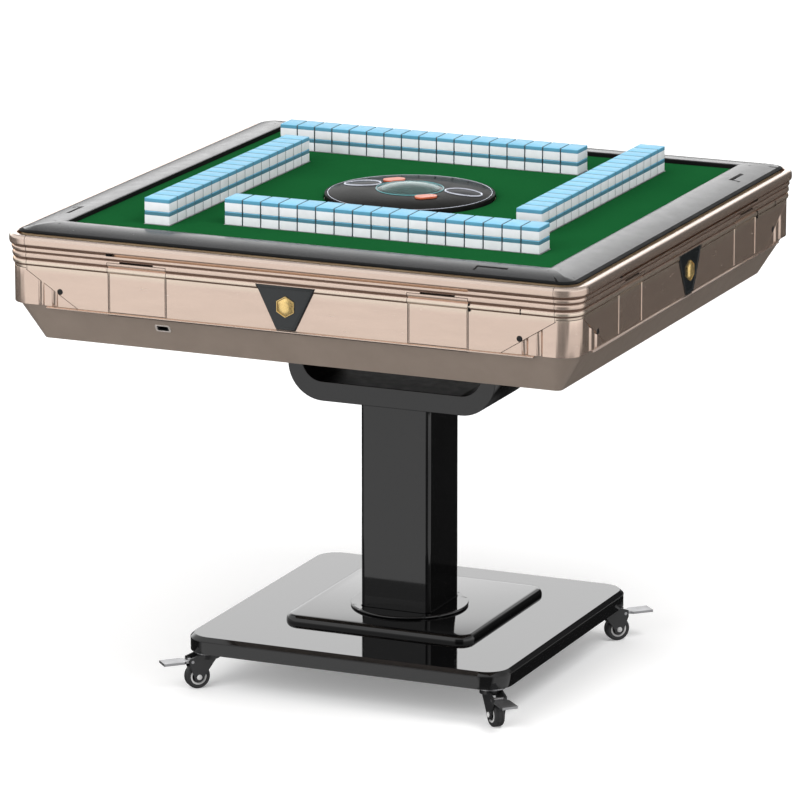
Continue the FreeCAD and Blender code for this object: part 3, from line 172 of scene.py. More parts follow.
def finish_of(name, colour, rough, metallic=0.0, vary=0.1, scale=18.0, rough_vary=0.06, grain=900.0,
              bump=0.08, depth=0.00005, stretch=None, **extra):
    """A finish with a slow drift of colour, uneven gloss and a fine grain."""
    s = Shader(name)
    vector = s.stretched(stretch) if stretch else None
    drift = s.remap(s.noise(scale, 5.0, 0.55, vector), 0.3, 0.7, 0.0, 1.0)
    s.set(Base_Color=s.mix(drift, shade(colour, 1 - vary), shade(colour, 1 + vary)))
    s.set(Roughness=s.remap(s.noise(scale * 3.3, 6.0, 0.6, vector), 0.25, 0.75, rough - rough_vary,
                            rough + rough_vary))
    s.set(Metallic=metallic)
    s.bump(s.noise(grain, 2.0, 0.6, vector), bump, depth)
    s.set(**extra)
    return s.material


FINISHES = {
    "black_gloss": dict(colour=(0.002, 0.002, 0.0022), rough=0.05, vary=0.2, rough_vary=0.02, grain=50.0,
                        bump=0.012, depth=0.0001, IOR=1.6),
    "cradle_inner": dict(colour=(0.003, 0.003, 0.0035), rough=0.5, grain=1400.0, bump=0.03,
                         Specular_IOR_Level=0.02),
    "hinge_steel": dict(colour=(0.42, 0.42, 0.43), rough=0.34, metallic=0.9, stretch=(1, 40, 40)),
    "castor_black": dict(colour=(0.016, 0.016, 0.017), rough=0.36, grain=1500.0, bump=0.15),
    "castor_tyre": dict(colour=(0.022, 0.022, 0.023), rough=0.55, grain=1200.0, bump=0.2),
    "pedal_zinc": dict(colour=(0.36, 0.36, 0.37), rough=0.34, metallic=0.9),
    "tray_taupe": dict(colour=(0.34, 0.275, 0.23), rough=0.40, metallic=0.5, vary=0.05, grain=1400.0,
                       bump=0.05),
    "trim_pale": dict(colour=(0.70, 0.57, 0.49), rough=0.22, metallic=0.87, vary=0.025, scale=9.0,
                      rough_vary=0.03, grain=260.0, bump=0.004),
    # Painted shade: a dark brown for the ribs' downward faces
    "groove_brown": dict(colour=(0.17, 0.10, 0.07), rough=0.35, metallic=0.6, vary=0.06, scale=9.0),
    "rim_grey": dict(colour=(0.020, 0.020, 0.021), rough=0.24, vary=0.08, scale=12.0, rough_vary=0.04,
                     grain=1800.0, bump=0.05),
    # Black of the rim's outer lip, and painted shade on its inner wall
    "rim_dark": dict(colour=(0.008, 0.008, 0.008), rough=0.5, vary=0.15, grain=1500.0, bump=0.1,
                     Specular_IOR_Level=0.05),
    "emblem_black": dict(colour=(0.010, 0.012, 0.013), rough=0.18, rough_vary=0.04),
    "screw_black": dict(colour=(0.012, 0.012, 0.012), rough=0.4, metallic=0.2),
    "socket_grey": dict(colour=(0.50, 0.49, 0.48), rough=0.4, grain=1500.0),
    "inner_grey": dict(colour=(0.16, 0.16, 0.165), rough=0.5, bump=0.15),
    "motor_steel": dict(colour=(0.42, 0.42, 0.42), rough=0.35, metallic=0.9, stretch=(30, 30, 1)),
    "board_green": dict(colour=(0.012, 0.10, 0.04), rough=0.35, vary=0.3, scale=120.0),
    "roller_rubber": dict(colour=(0.03, 0.03, 0.03), rough=0.7, grain=700.0, bump=0.3),
    "control_black": dict(colour=(0.010, 0.010, 0.0095), rough=0.16, vary=0.4, scale=30.0, grain=80.0,
                          bump=0.02, Specular_IOR_Level=0.005),
    "panel_black": dict(colour=(0.006, 0.007, 0.010), rough=0.12, vary=0.2, grain=90.0, bump=0.02,
                        Specular_IOR_Level=0.008),
    "dice_white": dict(colour=(0.80, 0.79, 0.75), rough=0.22, vary=0.03),
    "button_orange": dict(colour=(0.55, 0.115, 0.045), rough=0.30, vary=0.08, Specular_IOR_Level=0.35),
    "lift_plate": dict(colour=(0.50, 0.51, 0.53), rough=0.4, metallic=0.85, stretch=(40, 1, 1)),
    "gold": dict(colour=(0.93, 0.66, 0.27), rough=0.28, metallic=0.85, scale=200.0),
    "hub_grey": dict(colour=(0.62, 0.62, 0.62), rough=0.35, vary=0.06),
    # Black of the rim's printed marks, also used as painted shade in a notch and two seam ticks on the sides
    "mark_dark": dict(colour=(0.010, 0.009, 0.009), rough=0.5, Specular_IOR_Level=0.03),
    "ring_pale": dict(colour=(0.62, 0.64, 0.72), rough=0.25, metallic=0.6, vary=0.06),
    "teal_glow": dict(colour=(0.10, 0.30, 0.32), rough=0.3, vary=0.15),
    "bezel_pale": dict(colour=(0.58, 0.53, 0.49), rough=0.32, metallic=0.5, vary=0.05),
    "liner_grey": dict(colour=(0.055, 0.055, 0.058), rough=0.5, grain=1100.0, bump=0.2),
    # Painted shade for the gaps round the drawers: their bevels and the end faces at the openings
    "seam_dark": dict(colour=(0.035, 0.026, 0.022), rough=0.5, Specular_IOR_Level=0.15),
    "pip_black": dict(colour=(0.02, 0.02, 0.02), rough=0.3),
    "pip_red": dict(colour=(0.45, 0.02, 0.02), rough=0.3),
    "socket_dark": dict(colour=(0.010, 0.010, 0.011), rough=0.45, Specular_IOR_Level=0.25),
}
# Colour and roughness of the parts of a tile
TILE_FINISHES = {
    # The top is a paler copy of the blue back: painted light where it faces up
    "tile_top": ((0.21, 0.53, 0.74), 0.36),
    "tile_band": ((0.105, 0.32, 0.46), 0.36),
    # The lower layer's band is a darker copy of the band: painted shade between the layers
    "tile_band_low": ((0.075, 0.205, 0.27), 0.40),
    # Painted shade for the tile ends in the gaps between tiles
    "tile_joint": ((0.16, 0.22, 0.25), 0.5),
    "tile_white": ((0.93, 0.93, 0.98), 0.34),
}
CHAMPAGNE = (0.715, 0.56, 0.47)
# Colour of a painted highlight: the paler band where the panel rolls out under the lowest groove
HIGHLIGHT_CHAMPAGNE = (0.80, 0.675, 0.56)
HIGHLIGHT_FROM, HIGHLIGHT_TO = (0.7060, 0.7200), (0.7235, 0.7265)   # heights where the painted highlight band begins and ends
LEDGE_SHADOW = (0.6522, 0.6538)                           # heights where the painted shadow along the ledge's lower edge fades


def wood_finish(name):
    s = Shader(name)
    grain = s.noise(5.0, 8.0, 0.65, s.stretched((2, 30, 30)))
    s.set(Base_Color=s.mix(s.remap(grain, 0.35, 0.65, 0.0, 1.0), (0.30, 0.20, 0.11), (0.48, 0.35, 0.21)))
    s.set(Roughness=s.remap(grain, 0.3, 0.7, 0.55, 0.75))
    s.bump(grain, 0.25, 0.0003)
    return s.material


def felt_finish(name):
    """Short wool nap: clouds and flecks of lighter and darker green on a fuzzy surface."""
    s = Shader(name)
    clouds = s.remap(s.noise(6.0, 4.0), 0.35, 0.65, 0.0, 1.0)
    fleck = s.remap(s.noise(1300.0, 3.0, 0.7), 0.35, 0.65, 0.0, 1.0)
    ground = s.mix(clouds, (0.0055, 0.070, 0.0180), (0.0075, 0.087, 0.0225))
    s.set(Base_Color=s.mix(fleck, ground, (0.012, 0.104, 0.031)))
    s.set(Roughness=s.remap(fleck, 0.0, 1.0, 0.88, 0.98), Specular_IOR_Level=0.0)
    s.bump(s.noise(1900.0, 4.0, 0.75), 0.35, 0.0003)
    return s.material


def dome_finish(name):
    """Clear plastic with a faint teal haze."""
    s = Shader(name)
    haze = s.noise(40.0, 4.0)
    s.set(Base_Color=s.mix(haze, (0.42, 0.62, 0.60), (0.52, 0.72, 0.70)))
    s.set(Roughness=s.remap(haze, 0.3, 0.7, 0.02, 0.06), Transmission_Weight=0.92, IOR=1.14)
    return s.material


def tile_finish(name, colour, rough):
    """Cast resin, each tile of a slightly different shade."""
    s = Shader(name)
    clouds = s.remap(s.noise(70.0, 4.0), 0.3, 0.7, 0.94, 1.0)
    tint = s.math("MULTIPLY", clouds, s.remap(s.attribute("tint"), 0.0, 1.0, 0.93, 1.0))
    grey = s.node("CombineColor")
    for socket in grey.inputs[:3]:
        s.join(tint, socket)
    s.set(Base_Color=s.mix(1.0, colour, grey.outputs["Color"], "MULTIPLY"))
    s.set(Roughness=s.remap(s.noise(160.0, 4.0), 0.3, 0.7, rough - 0.04, rough + 0.06))
    s.set(Specular_IOR_Level=0.10)
    s.bump(s.noise(500.0, 2.0), 0.03, 0.0001)
    return s.material


def champagne_finish(name):
    """Satin champagne lacquer on metal, with a painted highlight: a paler band where the panel rolls out under
    the lowest groove.
    """
    s = Shader(name)
    vector = s.stretched((1, 1, 6))
    drift = s.remap(s.noise(9.0, 5.0, 0.55, vector), 0.3, 0.7, 0.0, 1.0)
    ground = s.mix(drift, shade(CHAMPAGNE, 0.975), shade(CHAMPAGNE, 1.025))
    height = s.height()
    rise = s.remap(height, *HIGHLIGHT_FROM, 0.0, 1.0, "SMOOTHSTEP")
    fall = s.remap(height, *HIGHLIGHT_TO, 1.0, 0.0, "SMOOTHSTEP")
    # Painted highlight: the colour turns paler between these heights
    s.set(Base_Color=s.mix(s.math("MULTIPLY", rise, fall), ground, HIGHLIGHT_CHAMPAGNE))
    s.set(Roughness=s.remap(s.noise(30.0, 6.0, 0.6, vector), 0.25, 0.75, 0.22, 0.28), Metallic=0.87)
    s.set(Specular_Tint=(1.0, 0.80, 0.60))
    s.bump(s.noise(260.0, 2.0, 0.6, vector), 0.004, 0.00005)
    return s.material


def ledge_finish(name):
    """The tray's paint, with a painted shadow darkening the lower edge of the ledge."""
    s = Shader(name)
    rise = s.math("ADD", s.height(), s.remap(s.noise(60.0), 0.0, 1.0, -0.0003, 0.0003))
    lit = s.remap(rise, *LEDGE_SHADOW, 0.0, 1.0, "SMOOTHSTEP")
    # Painted shadow: near black at the ledge's lower edge, fading into the taupe above
    s.set(Base_Color=s.mix(lit, (0.045, 0.034, 0.028), (0.33, 0.255, 0.21)))
    s.set(Roughness=s.remap(s.noise(50.0, 5.0), 0.3, 0.7, 0.36, 0.46), Metallic=0.5)
    s.bump(s.noise(1400.0, 2.0), 0.05, 0.00005)
    return s.material


materials = {name: finish_of(name, **look) for name, look in FINISHES.items()}
for name, make in (("board_wood", wood_finish), ("champagne", champagne_finish),
                   ("drawer_champagne", champagne_finish), ("ledge_taupe", ledge_finish),
                   ("felt_green", felt_finish), ("dome_clear", dome_finish)):
    materials[name] = make(name)
for name, (colour, rough) in TILE_FINISHES.items():
    materials[name] = tile_finish(name, colour, rough)


# Mesh helpers. A shape is a list of points, a list of faces and, after a loft, each face's ring number

SMOOTH_ANGLE = math.radians(38)
# A quarter round in four points, as shares of its radius: inset from the wall, height over the edge
QUARTER_ROUND = ((1.0, 0.0), (0.5, 0.134), (0.134, 0.5), (0.0, 1.0))


def turn(degrees):
    return Matrix.Rotation(math.radians(degrees), 4, "Z")


def new_object(name, data):
    obj = bpy.data.objects.new(name, data)
    bpy.context.scene.collection.objects.link(obj)
    return obj


def piece(name, shape, body, slots, face_slots=None, matrix=None):
    """A mesh in the row frame that rides a body. slots are the names of its materials."""
    verts, faces = shape[:2]
    mesh = bpy.data.meshes.new(name)
    if matrix is not None:
        verts = [matrix @ Vector(v) for v in verts]
    mesh.from_pydata([tuple(v) for v in verts], [], faces)
    obj = new_object(name, mesh)
    for key in slots:
        mesh.materials.append(materials[key])
    if face_slots:
        mesh.polygons.foreach_set("material_index", face_slots)
    bm = bmesh.new()
    bm.from_mesh(mesh)
    bmesh.ops.recalc_face_normals(bm, faces=bm.faces)
    bm.to_mesh(mesh)
    bm.free()
    mesh.shade_smooth()
    mesh.set_sharp_from_angle(angle=SMOOTH_ANGLE)
    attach(obj, body)
    return obj


class Build:
    """Several shapes for one piece, with a material number for each face."""

    def __init__(self):
        self.verts = []
        self.faces = []
        self.slots = []

    def add(self, shape, slot=0, matrix=None):
        verts, faces = shape[:2]
        start = len(self.verts)
        self.verts += [matrix @ Vector(v) if matrix is not None else Vector(v) for v in verts]
        self.faces += [tuple(start + i for i in face) for face in faces]
        self.slots += [slot] * len(faces) if isinstance(slot, int) else list(slot)

    def make(self, name, body, slots, slot=None, matrix=None):
        return piece(name, (self.verts, self.faces), body, slots, self.slots, matrix)


def loft(rings, cap_low=True, cap_high=True):
    """Rings of equally many points joined by quads."""
    count = len(rings[0])
    verts = [p for ring in rings for p in ring]
    faces, level = [], []
    for r in range(len(rings) - 1):
        for i in range(count):
            j = (i + 1) % count
            faces.append((r * count + i, r * count + j, (r + 1) * count + j, (r + 1) * count + i))
            level.append(r)
    if cap_low:
        faces.append(tuple(range(count))[::-1])
        level.append(0)
    if cap_high:
        faces.append(tuple((len(rings) - 1) * count + i for i in range(count)))
        level.append(len(rings) - 2)
    return verts, faces, level


def closed_loft(rings):
    """Rings joined one to the next and the last to the first, as a ring-shaped body."""
    last = len(rings) * len(rings[0])
    verts, faces, _ = loft(rings + [rings[0]], False, False)
    return verts[:last], [tuple(i % last for i in face) for face in faces]


def around(count):
    """Cosine and sine at equal steps of a full turn."""
    angles = [2 * math.pi * i / count for i in range(count)]
    return [(math.cos(a), math.sin(a)) for a in angles]


def oval(half_x, half_y, at=(0, 0), count=72):
    """Points of an oval in plan."""
    return [(at[0] + half_x * c, at[1] + half_y * s) for c, s in around(count)]


def lathe(profile, count=64):
    """A body of revolution about Z from (radius, z) points, closed at its ends."""
    return loft([[(radius * c, radius * s, z) for c, s in around(count)] for radius, z in profile])


def hoop(profile, count=64):
    """A ring about Z whose section is a closed outline of (radius, z) points."""
    return closed_loft([[(radius * c, radius * s, z) for radius, z in profile] for c, s in around(count)])


def rounded(half_x, half_y, radius, z, steps=5, at=(0.0, 0.0)):
    """A level rectangle with round corners."""
    radius = max(radius, 1e-6)
    points = []
    for sx, sy, start in ((1, -1, -90), (1, 1, 0), (-1, 1, 90), (-1, -1, 180)):
        for k in range(steps + 1):
            a = math.radians(start + 90 * k / steps)
            points.append((at[0] + sx * (half_x - radius) + radius * math.cos(a),
                           at[1] + sy * (half_y - radius) + radius * math.sin(a), z))
    return points


def soft_block(half_x, half_y, radius, z0, z1, edge, steps=5):
    """A block with round corners whose top and bottom edges are rounded as well."""
    levels = [(edge * inset, z0 + edge * rise) for inset, rise in QUARTER_ROUND]
    levels += [(edge * inset, z1 - edge * rise) for inset, rise in reversed(QUARTER_ROUND)]
    return loft([rounded(half_x - inset, half_y - inset, radius - inset, z, steps) for inset, z in levels])


def bead(path, radius, count=8):
    """A closed round bead along a closed path of points."""
    size = len(path)
    rings = []
    for i, p in enumerate(path):
        p = Vector(p)
        along = (Vector(path[(i + 1) % size]) - Vector(path[i - 1])).normalized()
        across = along.cross(Vector((0, 0, 1))).normalized()
        up = across.cross(along)
        rings.append([p + radius * (c * across + s * up) for c, s in around(count)])
    return closed_loft(rings)


def ring_of(points, grow):
    """A closed outline moved outwards by grow, for outlines that are convex."""
    moved = []
    count = len(points)
    for i in range(count):
        a, b, c = Vector(points[i - 1]), Vector(points[i]), Vector(points[(i + 1) % count])
        n1 = Vector(((b - a).y, -(b - a).x)).normalized()
        n2 = Vector(((c - b).y, -(c - b).x)).normalized()
        n = (n1 + n2).normalized()
        moved.append(b + n * (grow / max(0.3, n.dot(n1))))
    return moved


def skin_of(name):
    """The surface of a CAD piece, to seat small parts on."""
    mesh = nodes[name].data
    return BVHTree.FromPolygons([v.co for v in mesh.vertices], [tuple(f.vertices) for f in mesh.polygons])


def face_out(x, z, depth, side=0.0):
    """The frame of a flat spot on one side of the table: X to the right, Y up, Z outwards."""
    spot = Matrix(((1, 0, 0, x), (0, 0, -1, -depth), (0, 1, 0, z), (0, 0, 0, 1)))
    return turn(side) @ spot


# CAD pieces that keep their own shape: finish, welded seams and softened edges

EDGE_MM = {
    "base_plate": 1.2, "column": 0.8, "column_collar": 2.2, "cradle_bracket": 1.2, "bottom_tray": 2.2,
    "corner_guards": 0.4, "fold_hinge_lugs": 0.6, "fold_hinge_leaves": 0.6, "fold_hinge_pins": 0.6,
    "control_unit": 0.7, "usb_socket": 0.4, "power_inlet": 0.6, "castor_plates": 0.5, "main_board": 0.3,
    "drum_motor": 0.8, "mixing_drum": 0.8, "centre_post": 0.6, "drive_roller": 0.6, "lift_guides": 0.6,
    "drawer_housings": 0.4,
}
EDGE_MM_BY_START = {"drawer_": 0.7, "castor_fork": 0.7, "castor_pedal": 0.7, "lift_platform": 0.4,
                    "dice_button": 1.5}
WELD_REACH = 0.02 * MM
BEVEL_FROM = math.radians(32)
EVEN_WEIGHT = 80
CRADLE_LOW, CRADLE_ARM, CRADLE_FLOOR = 0.4416, 0.025, 0.032
TRIM_LOW, TRIM_SLOPE = 0.7592, 0.12          # the pale trim on top of the panels
UNDERSIDE_SHADE_LOW, UNDERSIDE_SHADE_SLOPE = 0.70, -0.35       # undersides of the ribs, which get painted shade
DRAWER_ROLL_LOW = 0.72                       # the rolled top of the drawer fronts; their end faces above it get painted shade
LEDGE_DEPTH = 0.4 * MM                       # faces this near to the ledge's front belong to it
END_FACE, STEEP = 0.9, 0.5


def edge_of(name):
    """Width in mm of a piece's softened edges, or None where its edges stay as they are."""
    if name in EDGE_MM:
        return EDGE_MM[name]
    return next((size for start, size in EDGE_MM_BY_START.items() if name.startswith(start)), None)


def soften(obj, width):
    weld = obj.modifiers.new("weld", "WELD")
    weld.merge_threshold = WELD_REACH
    bevel = obj.modifiers.new("bevel", "BEVEL")
    bevel.width = width
    bevel.segments = 2
    bevel.limit_method = "ANGLE"
    bevel.angle_limit = BEVEL_FROM
    bevel.harden_normals = True
    if obj.name == "bottom_tray" or obj.name in DRAWERS:
        even = obj.modifiers.new("even", "WEIGHTED_NORMAL")
        even.weight = EVEN_WEIGHT
    # Bevels of the drawer fronts and rears get painted shade for the gaps round them
    if obj.name.startswith(("drawer_front", "drawer_rear")):
        bevel.material = 1


def paint(name, finishes, choose):
    """Gives a CAD piece more finishes, and each face the number that choose returns, if any."""
    mesh = nodes[name].data
    for key in finishes:
        mesh.materials.append(materials[key])
    for polygon in mesh.polygons:
        x, y, z = polygon.center
        number = choose(x, y, z, polygon.normal)
        if number:
            polygon.material_index = number


def looks_along(x, y, normal):
    """Whether a face on one side of the table looks along that side."""
    return abs(normal.y if abs(x) > abs(y) else normal.x) > END_FACE


def cradle_finish(x, y, z, normal):
    inside = abs(x) < cradle_high[0] - CRADLE_ARM + MM and z > CRADLE_LOW + CRADLE_FLOOR - MM
    return 1 if inside and abs(normal.y) < STEEP else 0


def cap_finish(x, y, z, normal):
    if z > TRIM_LOW and normal.z > TRIM_SLOPE:
        return 1
    # Faces looking down under the ribs get painted shade
    return 2 if normal.z < UNDERSIDE_SHADE_SLOPE and z > UNDERSIDE_SHADE_LOW else 0


def panel_finish(x, y, z, normal):
    number = cap_finish(x, y, z, normal)
    # Faces at the drawer openings that look along the side get painted shade
    return 3 if number != 1 and looks_along(x, y, normal) else number


def drawer_finish(x, y, z, normal):
    return 1 if looks_along(x, y, normal) and z > DRAWER_ROLL_LOW else 0


def tray_finish(x, y, z, normal):
    return 1 if max(abs(x), abs(y)) > tray_high[0] - LEDGE_DEPTH and abs(normal.z) < STEEP else 0


for entry in frame["record"]["subparts"]:
    obj = nodes[entry["node"]]
    key = "socket_dark" if obj.name == "usb_socket" else entry["material_slot"]
    obj.data.materials.clear()
    obj.data.materials.append(materials.get(key) or materials["tile_white"])
    size = edge_of(obj.name)
    if size:
        soften(obj, size * MM)

_, cradle_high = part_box("cradle_bracket")
_, tray_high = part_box("bottom_tray")
paint("cradle_bracket", ["cradle_inner"], cradle_finish)
paint("side_panels", ["trim_pale", "groove_brown", "seam_dark"], panel_finish)
paint("corner_caps", ["trim_pale", "groove_brown"], cap_finish)
for name in DRAWERS:
    paint(name, ["seam_dark"], drawer_finish)
paint("bottom_tray", ["ledge_taupe"], tray_finish)


# Foot: the raised step with its soft edges, and a bead round the base

STEP_ROUND, STEP_CORNER = 0.0090, 0.026
BASE_BEAD, BASE_BEAD_DOWN, BASE_BEAD_SINK, BASE_CORNER = 0.0007, 0.0068, 0.0001, 0.0419


def foot_pieces():
    low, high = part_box("base_step_plate")
    half, z0, z1 = high[0], low[2], high[2]
    at = (0.0, (low[1] + high[1]) / 2)
    levels = [(0.0, z0), (0.0, z1 - STEP_ROUND)]
    for k in range(1, 7):
        a = math.radians(15 * k)
        levels.append((STEP_ROUND * (1 - math.cos(a)), z1 - STEP_ROUND * (1 - math.sin(a))))
    rings = [rounded(half - inset, half - inset, STEP_CORNER - inset, z, 10, at) for inset, z in levels]
    step = piece("base_step", loft(rings), "pedestal", ["black_gloss"])
    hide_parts("base_step_plate")
    _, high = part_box("base_plate")
    path = rounded(high[0] - BASE_BEAD_SINK, high[1] - BASE_BEAD_SINK, BASE_CORNER,
                   high[2] - BASE_BEAD_DOWN, 16)
    piece("base_bead", bead(path, BASE_BEAD), "pedestal", ["black_gloss"])


foot_pieces()


# Rim: four crowned rails with dark walls (a black outer lip, and painted shade on the inner wall), mitre joints
# and inlaid marks on each

RIM_IN, RIM_OUT, RIM_ROUND = 0.402, 0.465, 0.026
RIM_BASE, RIM_HIGH = 0.7666, 0.7766
RIM_SWELL, RIM_FALL = 0.0014, 0.0096
MITRE_GAP, INNER_ROUND = 0.00018, 0.00005
CORNER_STEPS, RAIL_STEPS, CROWN_STEPS = 8, 12, 16
RIM_INNER_WALL = ((RIM_IN, RIM_BASE), (RIM_IN, 0.7750), (0.40225, 0.77585), (0.4029, 0.77637))
CROWN_IN, CROWN_OUT, CROWN_START_DROP = 0.4029, 0.4618, 0.0002
RIM_OUTER_WALL = ((RIM_OUT, 0.7679), (RIM_OUT, RIM_BASE))
RIM_SHOULDER = ((0.4634, 0.0001), (0.4645, 0.0003))       # distance out, and drop below the crown
# The marks' strokes on a rail: start, end and width
RIM_STROKES = (((0.2947, 0.4308), (0.3456, 0.4308), 0.0065), ((0.2969, 0.4275), (0.2969, 0.4455), 0.0044),
               ((0.4060, 0.4200), (0.4290, 0.4490), 0.0010), ((0.4285, 0.4485), (0.4370, 0.4600), 0.0030),
               ((-0.4060, 0.4200), (-0.4330, 0.4540), 0.0010))
STROKE_SINK, STROKE_WALL, STROKE_TOP, STROKE_EDGE = -0.0012, 0.0001, 0.00025, 0.0005


def rim_top(u):
    """Height of the crowned top at a distance from the table's centre."""
    share = (u - RIM_IN) / (RIM_OUT - RIM_IN)
    return RIM_HIGH + RIM_SWELL * share - RIM_FALL * share * share


def rim_line(u, z):
    """One line of the front rail, from its right mitre round the corner parts to its left mitre."""
    radius = max(u - (RIM_OUT - RIM_ROUND), INNER_ROUND)
    centre = u - radius
    half = []
    for k in range(CORNER_STEPS + 1):
        a = math.radians(45 - 45 * k / CORNER_STEPS)
        half.append((centre + radius * math.sin(a), -centre - radius * math.cos(a), z))
    x, y, z = half[0]
    half[0] = (x - MITRE_GAP, y, z)
    straight = [(half[-1][0] * (1 - 2 * k / RAIL_STEPS), half[-1][1], z) for k in range(1, RAIL_STEPS)]
    return half + straight + [(-x, y, z) for x, y, z in reversed(half)]


def rail_shape():
    """The front rail, and the material number of each face: 0 on the crown and 1 on the walls, black as the
    outer lip and as painted shade on the inner wall.
    """
    levels = list(RIM_INNER_WALL)
    first = len(levels) - 2
    for k in range(1, CROWN_STEPS + 1):
        u = CROWN_IN + (CROWN_OUT - CROWN_IN) * k / CROWN_STEPS
        levels.append((u, rim_top(u) - (CROWN_START_DROP if k == 1 else 0.0)))
    last = len(levels) - 2
    levels += [(u, rim_top(u) - drop) for u, drop in RIM_SHOULDER]
    levels += RIM_OUTER_WALL
    lines = [rim_line(u, z) for u, z in levels]
    count = len(lines[0])
    faces, slots = [], []
    for r in range(len(lines)):
        nxt = (r + 1) % len(lines)
        for i in range(count - 1):
            faces.append((r * count + i, r * count + i + 1, nxt * count + i + 1, nxt * count + i))
            slots.append(0 if first <= r < last else 1)
    for end in (0, count - 1):
        faces.append(tuple(r * count + end for r in range(len(lines))))
        slots.append(1)
    return ([p for line in lines for p in line], faces), slots


def stroke_shape(a, b, width):
    """One stroke of the marks, a slim bar sunk into the front rail's crown."""
    along = (Vector(b) - Vector(a)).normalized()
    across = Vector((-along.y, along.x))
    rings = []
    for inset, lift in ((0.0, STROKE_SINK), (0.0, STROKE_WALL), (min(STROKE_EDGE, width / 4), STROKE_TOP)):
        ring = []
        for end, share in ((a, -1), (b, 1)):
            for sign in (-share, share):
                x, u = Vector(end) - along * share * inset + across * sign * (width / 2 - inset)
                ring.append((x, -u, rim_top(u) + lift))
        rings.append(ring)
    return loft(rings)


def rim_pieces():
    rails, marks = Build(), Build()
    shape, slots = rail_shape()
    for quarter in range(4):
        rails.add(shape, slots, turn(90 * quarter))
        for stroke in RIM_STROKES:
            marks.add(stroke_shape(*stroke), 0, turn(90 * quarter))
    obj = rails.make("rim_frame", "tabletop", ["rim_grey", "rim_dark"], "rim_grey")
    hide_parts("rim_rails")
    marks.make("rim_marks", "tabletop", ["mark_dark"])


rim_pieces()


# Felt on the playing surface

FELT_HALF, FELT_TOP, FELT_BOTTOM = 0.4017, 0.7696, 0.7666
FELT_CORNER, SLOT_CORNER = 0.004, 0.002
SLOT_X, SLOT_Y = (-0.1850, 0.3450), (-0.3010, -0.2550)
FELT_HOLE = 0.136
FELT_CURL = ((0.0011, 0.0), (0.0006, 0.00012), (0.0002, 0.0005), (0.0, 0.0012))   # inset and drop at its edges


def fill(loops):
    """A flat shape between an outline and the holes in it."""
    return sum(loops, []), [tuple(t) for t in tessellate_polygon(loops)]


def felt_piece():
    outer = [(x, y) for x, y, _ in rounded(FELT_HALF, FELT_HALF, FELT_CORNER, 0)]
    slot = rounded((SLOT_X[1] - SLOT_X[0]) / 2, (SLOT_Y[1] - SLOT_Y[0]) / 2, SLOT_CORNER, 0, 3,
                   (sum(SLOT_X) / 2, sum(SLOT_Y) / 2))
    loops = [(outer, -1)]
    for quarter in range(4):
        loops.append(([(turn(90 * quarter) @ Vector(p)).to_2d() for p in slot], 1))
    loops.append(([Vector(p) for p in oval(FELT_HOLE, FELT_HOLE, count=96)], 1))
    build = Build()
    tops, bottoms = [], []
    for points, inward in loops:
        rings = []
        for inset, drop in FELT_CURL:
            rings.append([(p.x, p.y, FELT_TOP - drop) for p in ring_of(points, inward * inset)])
        rings.append([(p[0], p[1], FELT_BOTTOM) for p in points])
        tops.append([Vector(p) for p in rings[0]])
        bottoms.append([Vector(p) for p in rings[-1]])
        build.add(loft(rings, False, False))
    build.add(fill(tops))
    build.add(fill(bottoms))
    obj = build.make("felt_surface", "tabletop", ["felt_green"], "felt_green")
    mesh = obj.data
    bm = bmesh.new()
    bm.from_mesh(mesh)
    bmesh.ops.remove_doubles(bm, verts=bm.verts, dist=1e-6)
    bmesh.ops.recalc_face_normals(bm, faces=bm.faces)
    bm.to_mesh(mesh)
    bm.free()
    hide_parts("felt_cover")


felt_piece()


# Tile walls

TILE_X, TILE_Y, TILE_Z = 0.0310, 0.0430, 0.0206
TILE_GAP, LAYER_GAP = 0.0015, 0.0002
TILE_CORNER, TILE_EDGE = 0.0016, 0.0012
TILE_ROUND = ((TILE_EDGE, 0.0), (TILE_EDGE * 0.45, 0.0002), (TILE_EDGE * 0.1, 0.0008), (0.0, TILE_EDGE))
BAND_FROM, BAND_SEAM = 0.69, 0.0004          # share of the height where the blue back begins
TILE_LAYERS, TILES_LONG = 2, 17
WALL_START, WALL_Y = -0.1835, -0.2780
WHITE, BAND, TOP, SHADED_BAND, GAP_SHADE = range(5)
TILE_SLOTS = ["tile_white", "tile_band", "tile_top", "tile_band_low", "tile_joint"]
TILE_RING = 16                               # faces in each ring of a tile
random_shade = random.Random(7)


def tile_shape(half_x, half_y, height):
    """One tile, and the material number of each face."""
    split = height * BAND_FROM
    levels = list(TILE_ROUND) + [(0.0, split), (0.0, split + BAND_SEAM)]
    levels += [(inset, height - rise) for inset, rise in reversed(TILE_ROUND)]
    shape = loft([rounded(half_x - inset, half_y - inset, TILE_CORNER - inset, z, 3) for inset, z in levels])
    # Top faces get the paler copy of the blue: painted light
    return shape, [WHITE if r < 4 else BAND if r < 7 else TOP for r in shape[2]]


def wall_tile_slots(slots, place, layer):
    """The finishes of one tile in its wall: its band, and painted shade on the ends where it meets the next
    tile.
    """
    # The lower layer's band gets the darker copy: painted shade
    found = [SHADED_BAND if number == BAND and layer == 0 else number for number in slots]
    # Ends that meet the next tile get painted shade
    for start in range(0, 8 * TILE_RING, TILE_RING):
        for side, last in ((3, TILES_LONG - 1), (11, 0)):
            if place != last:
                for step in (-1, 0, 1):
                    found[start + side + step] = GAP_SHADE
    return found


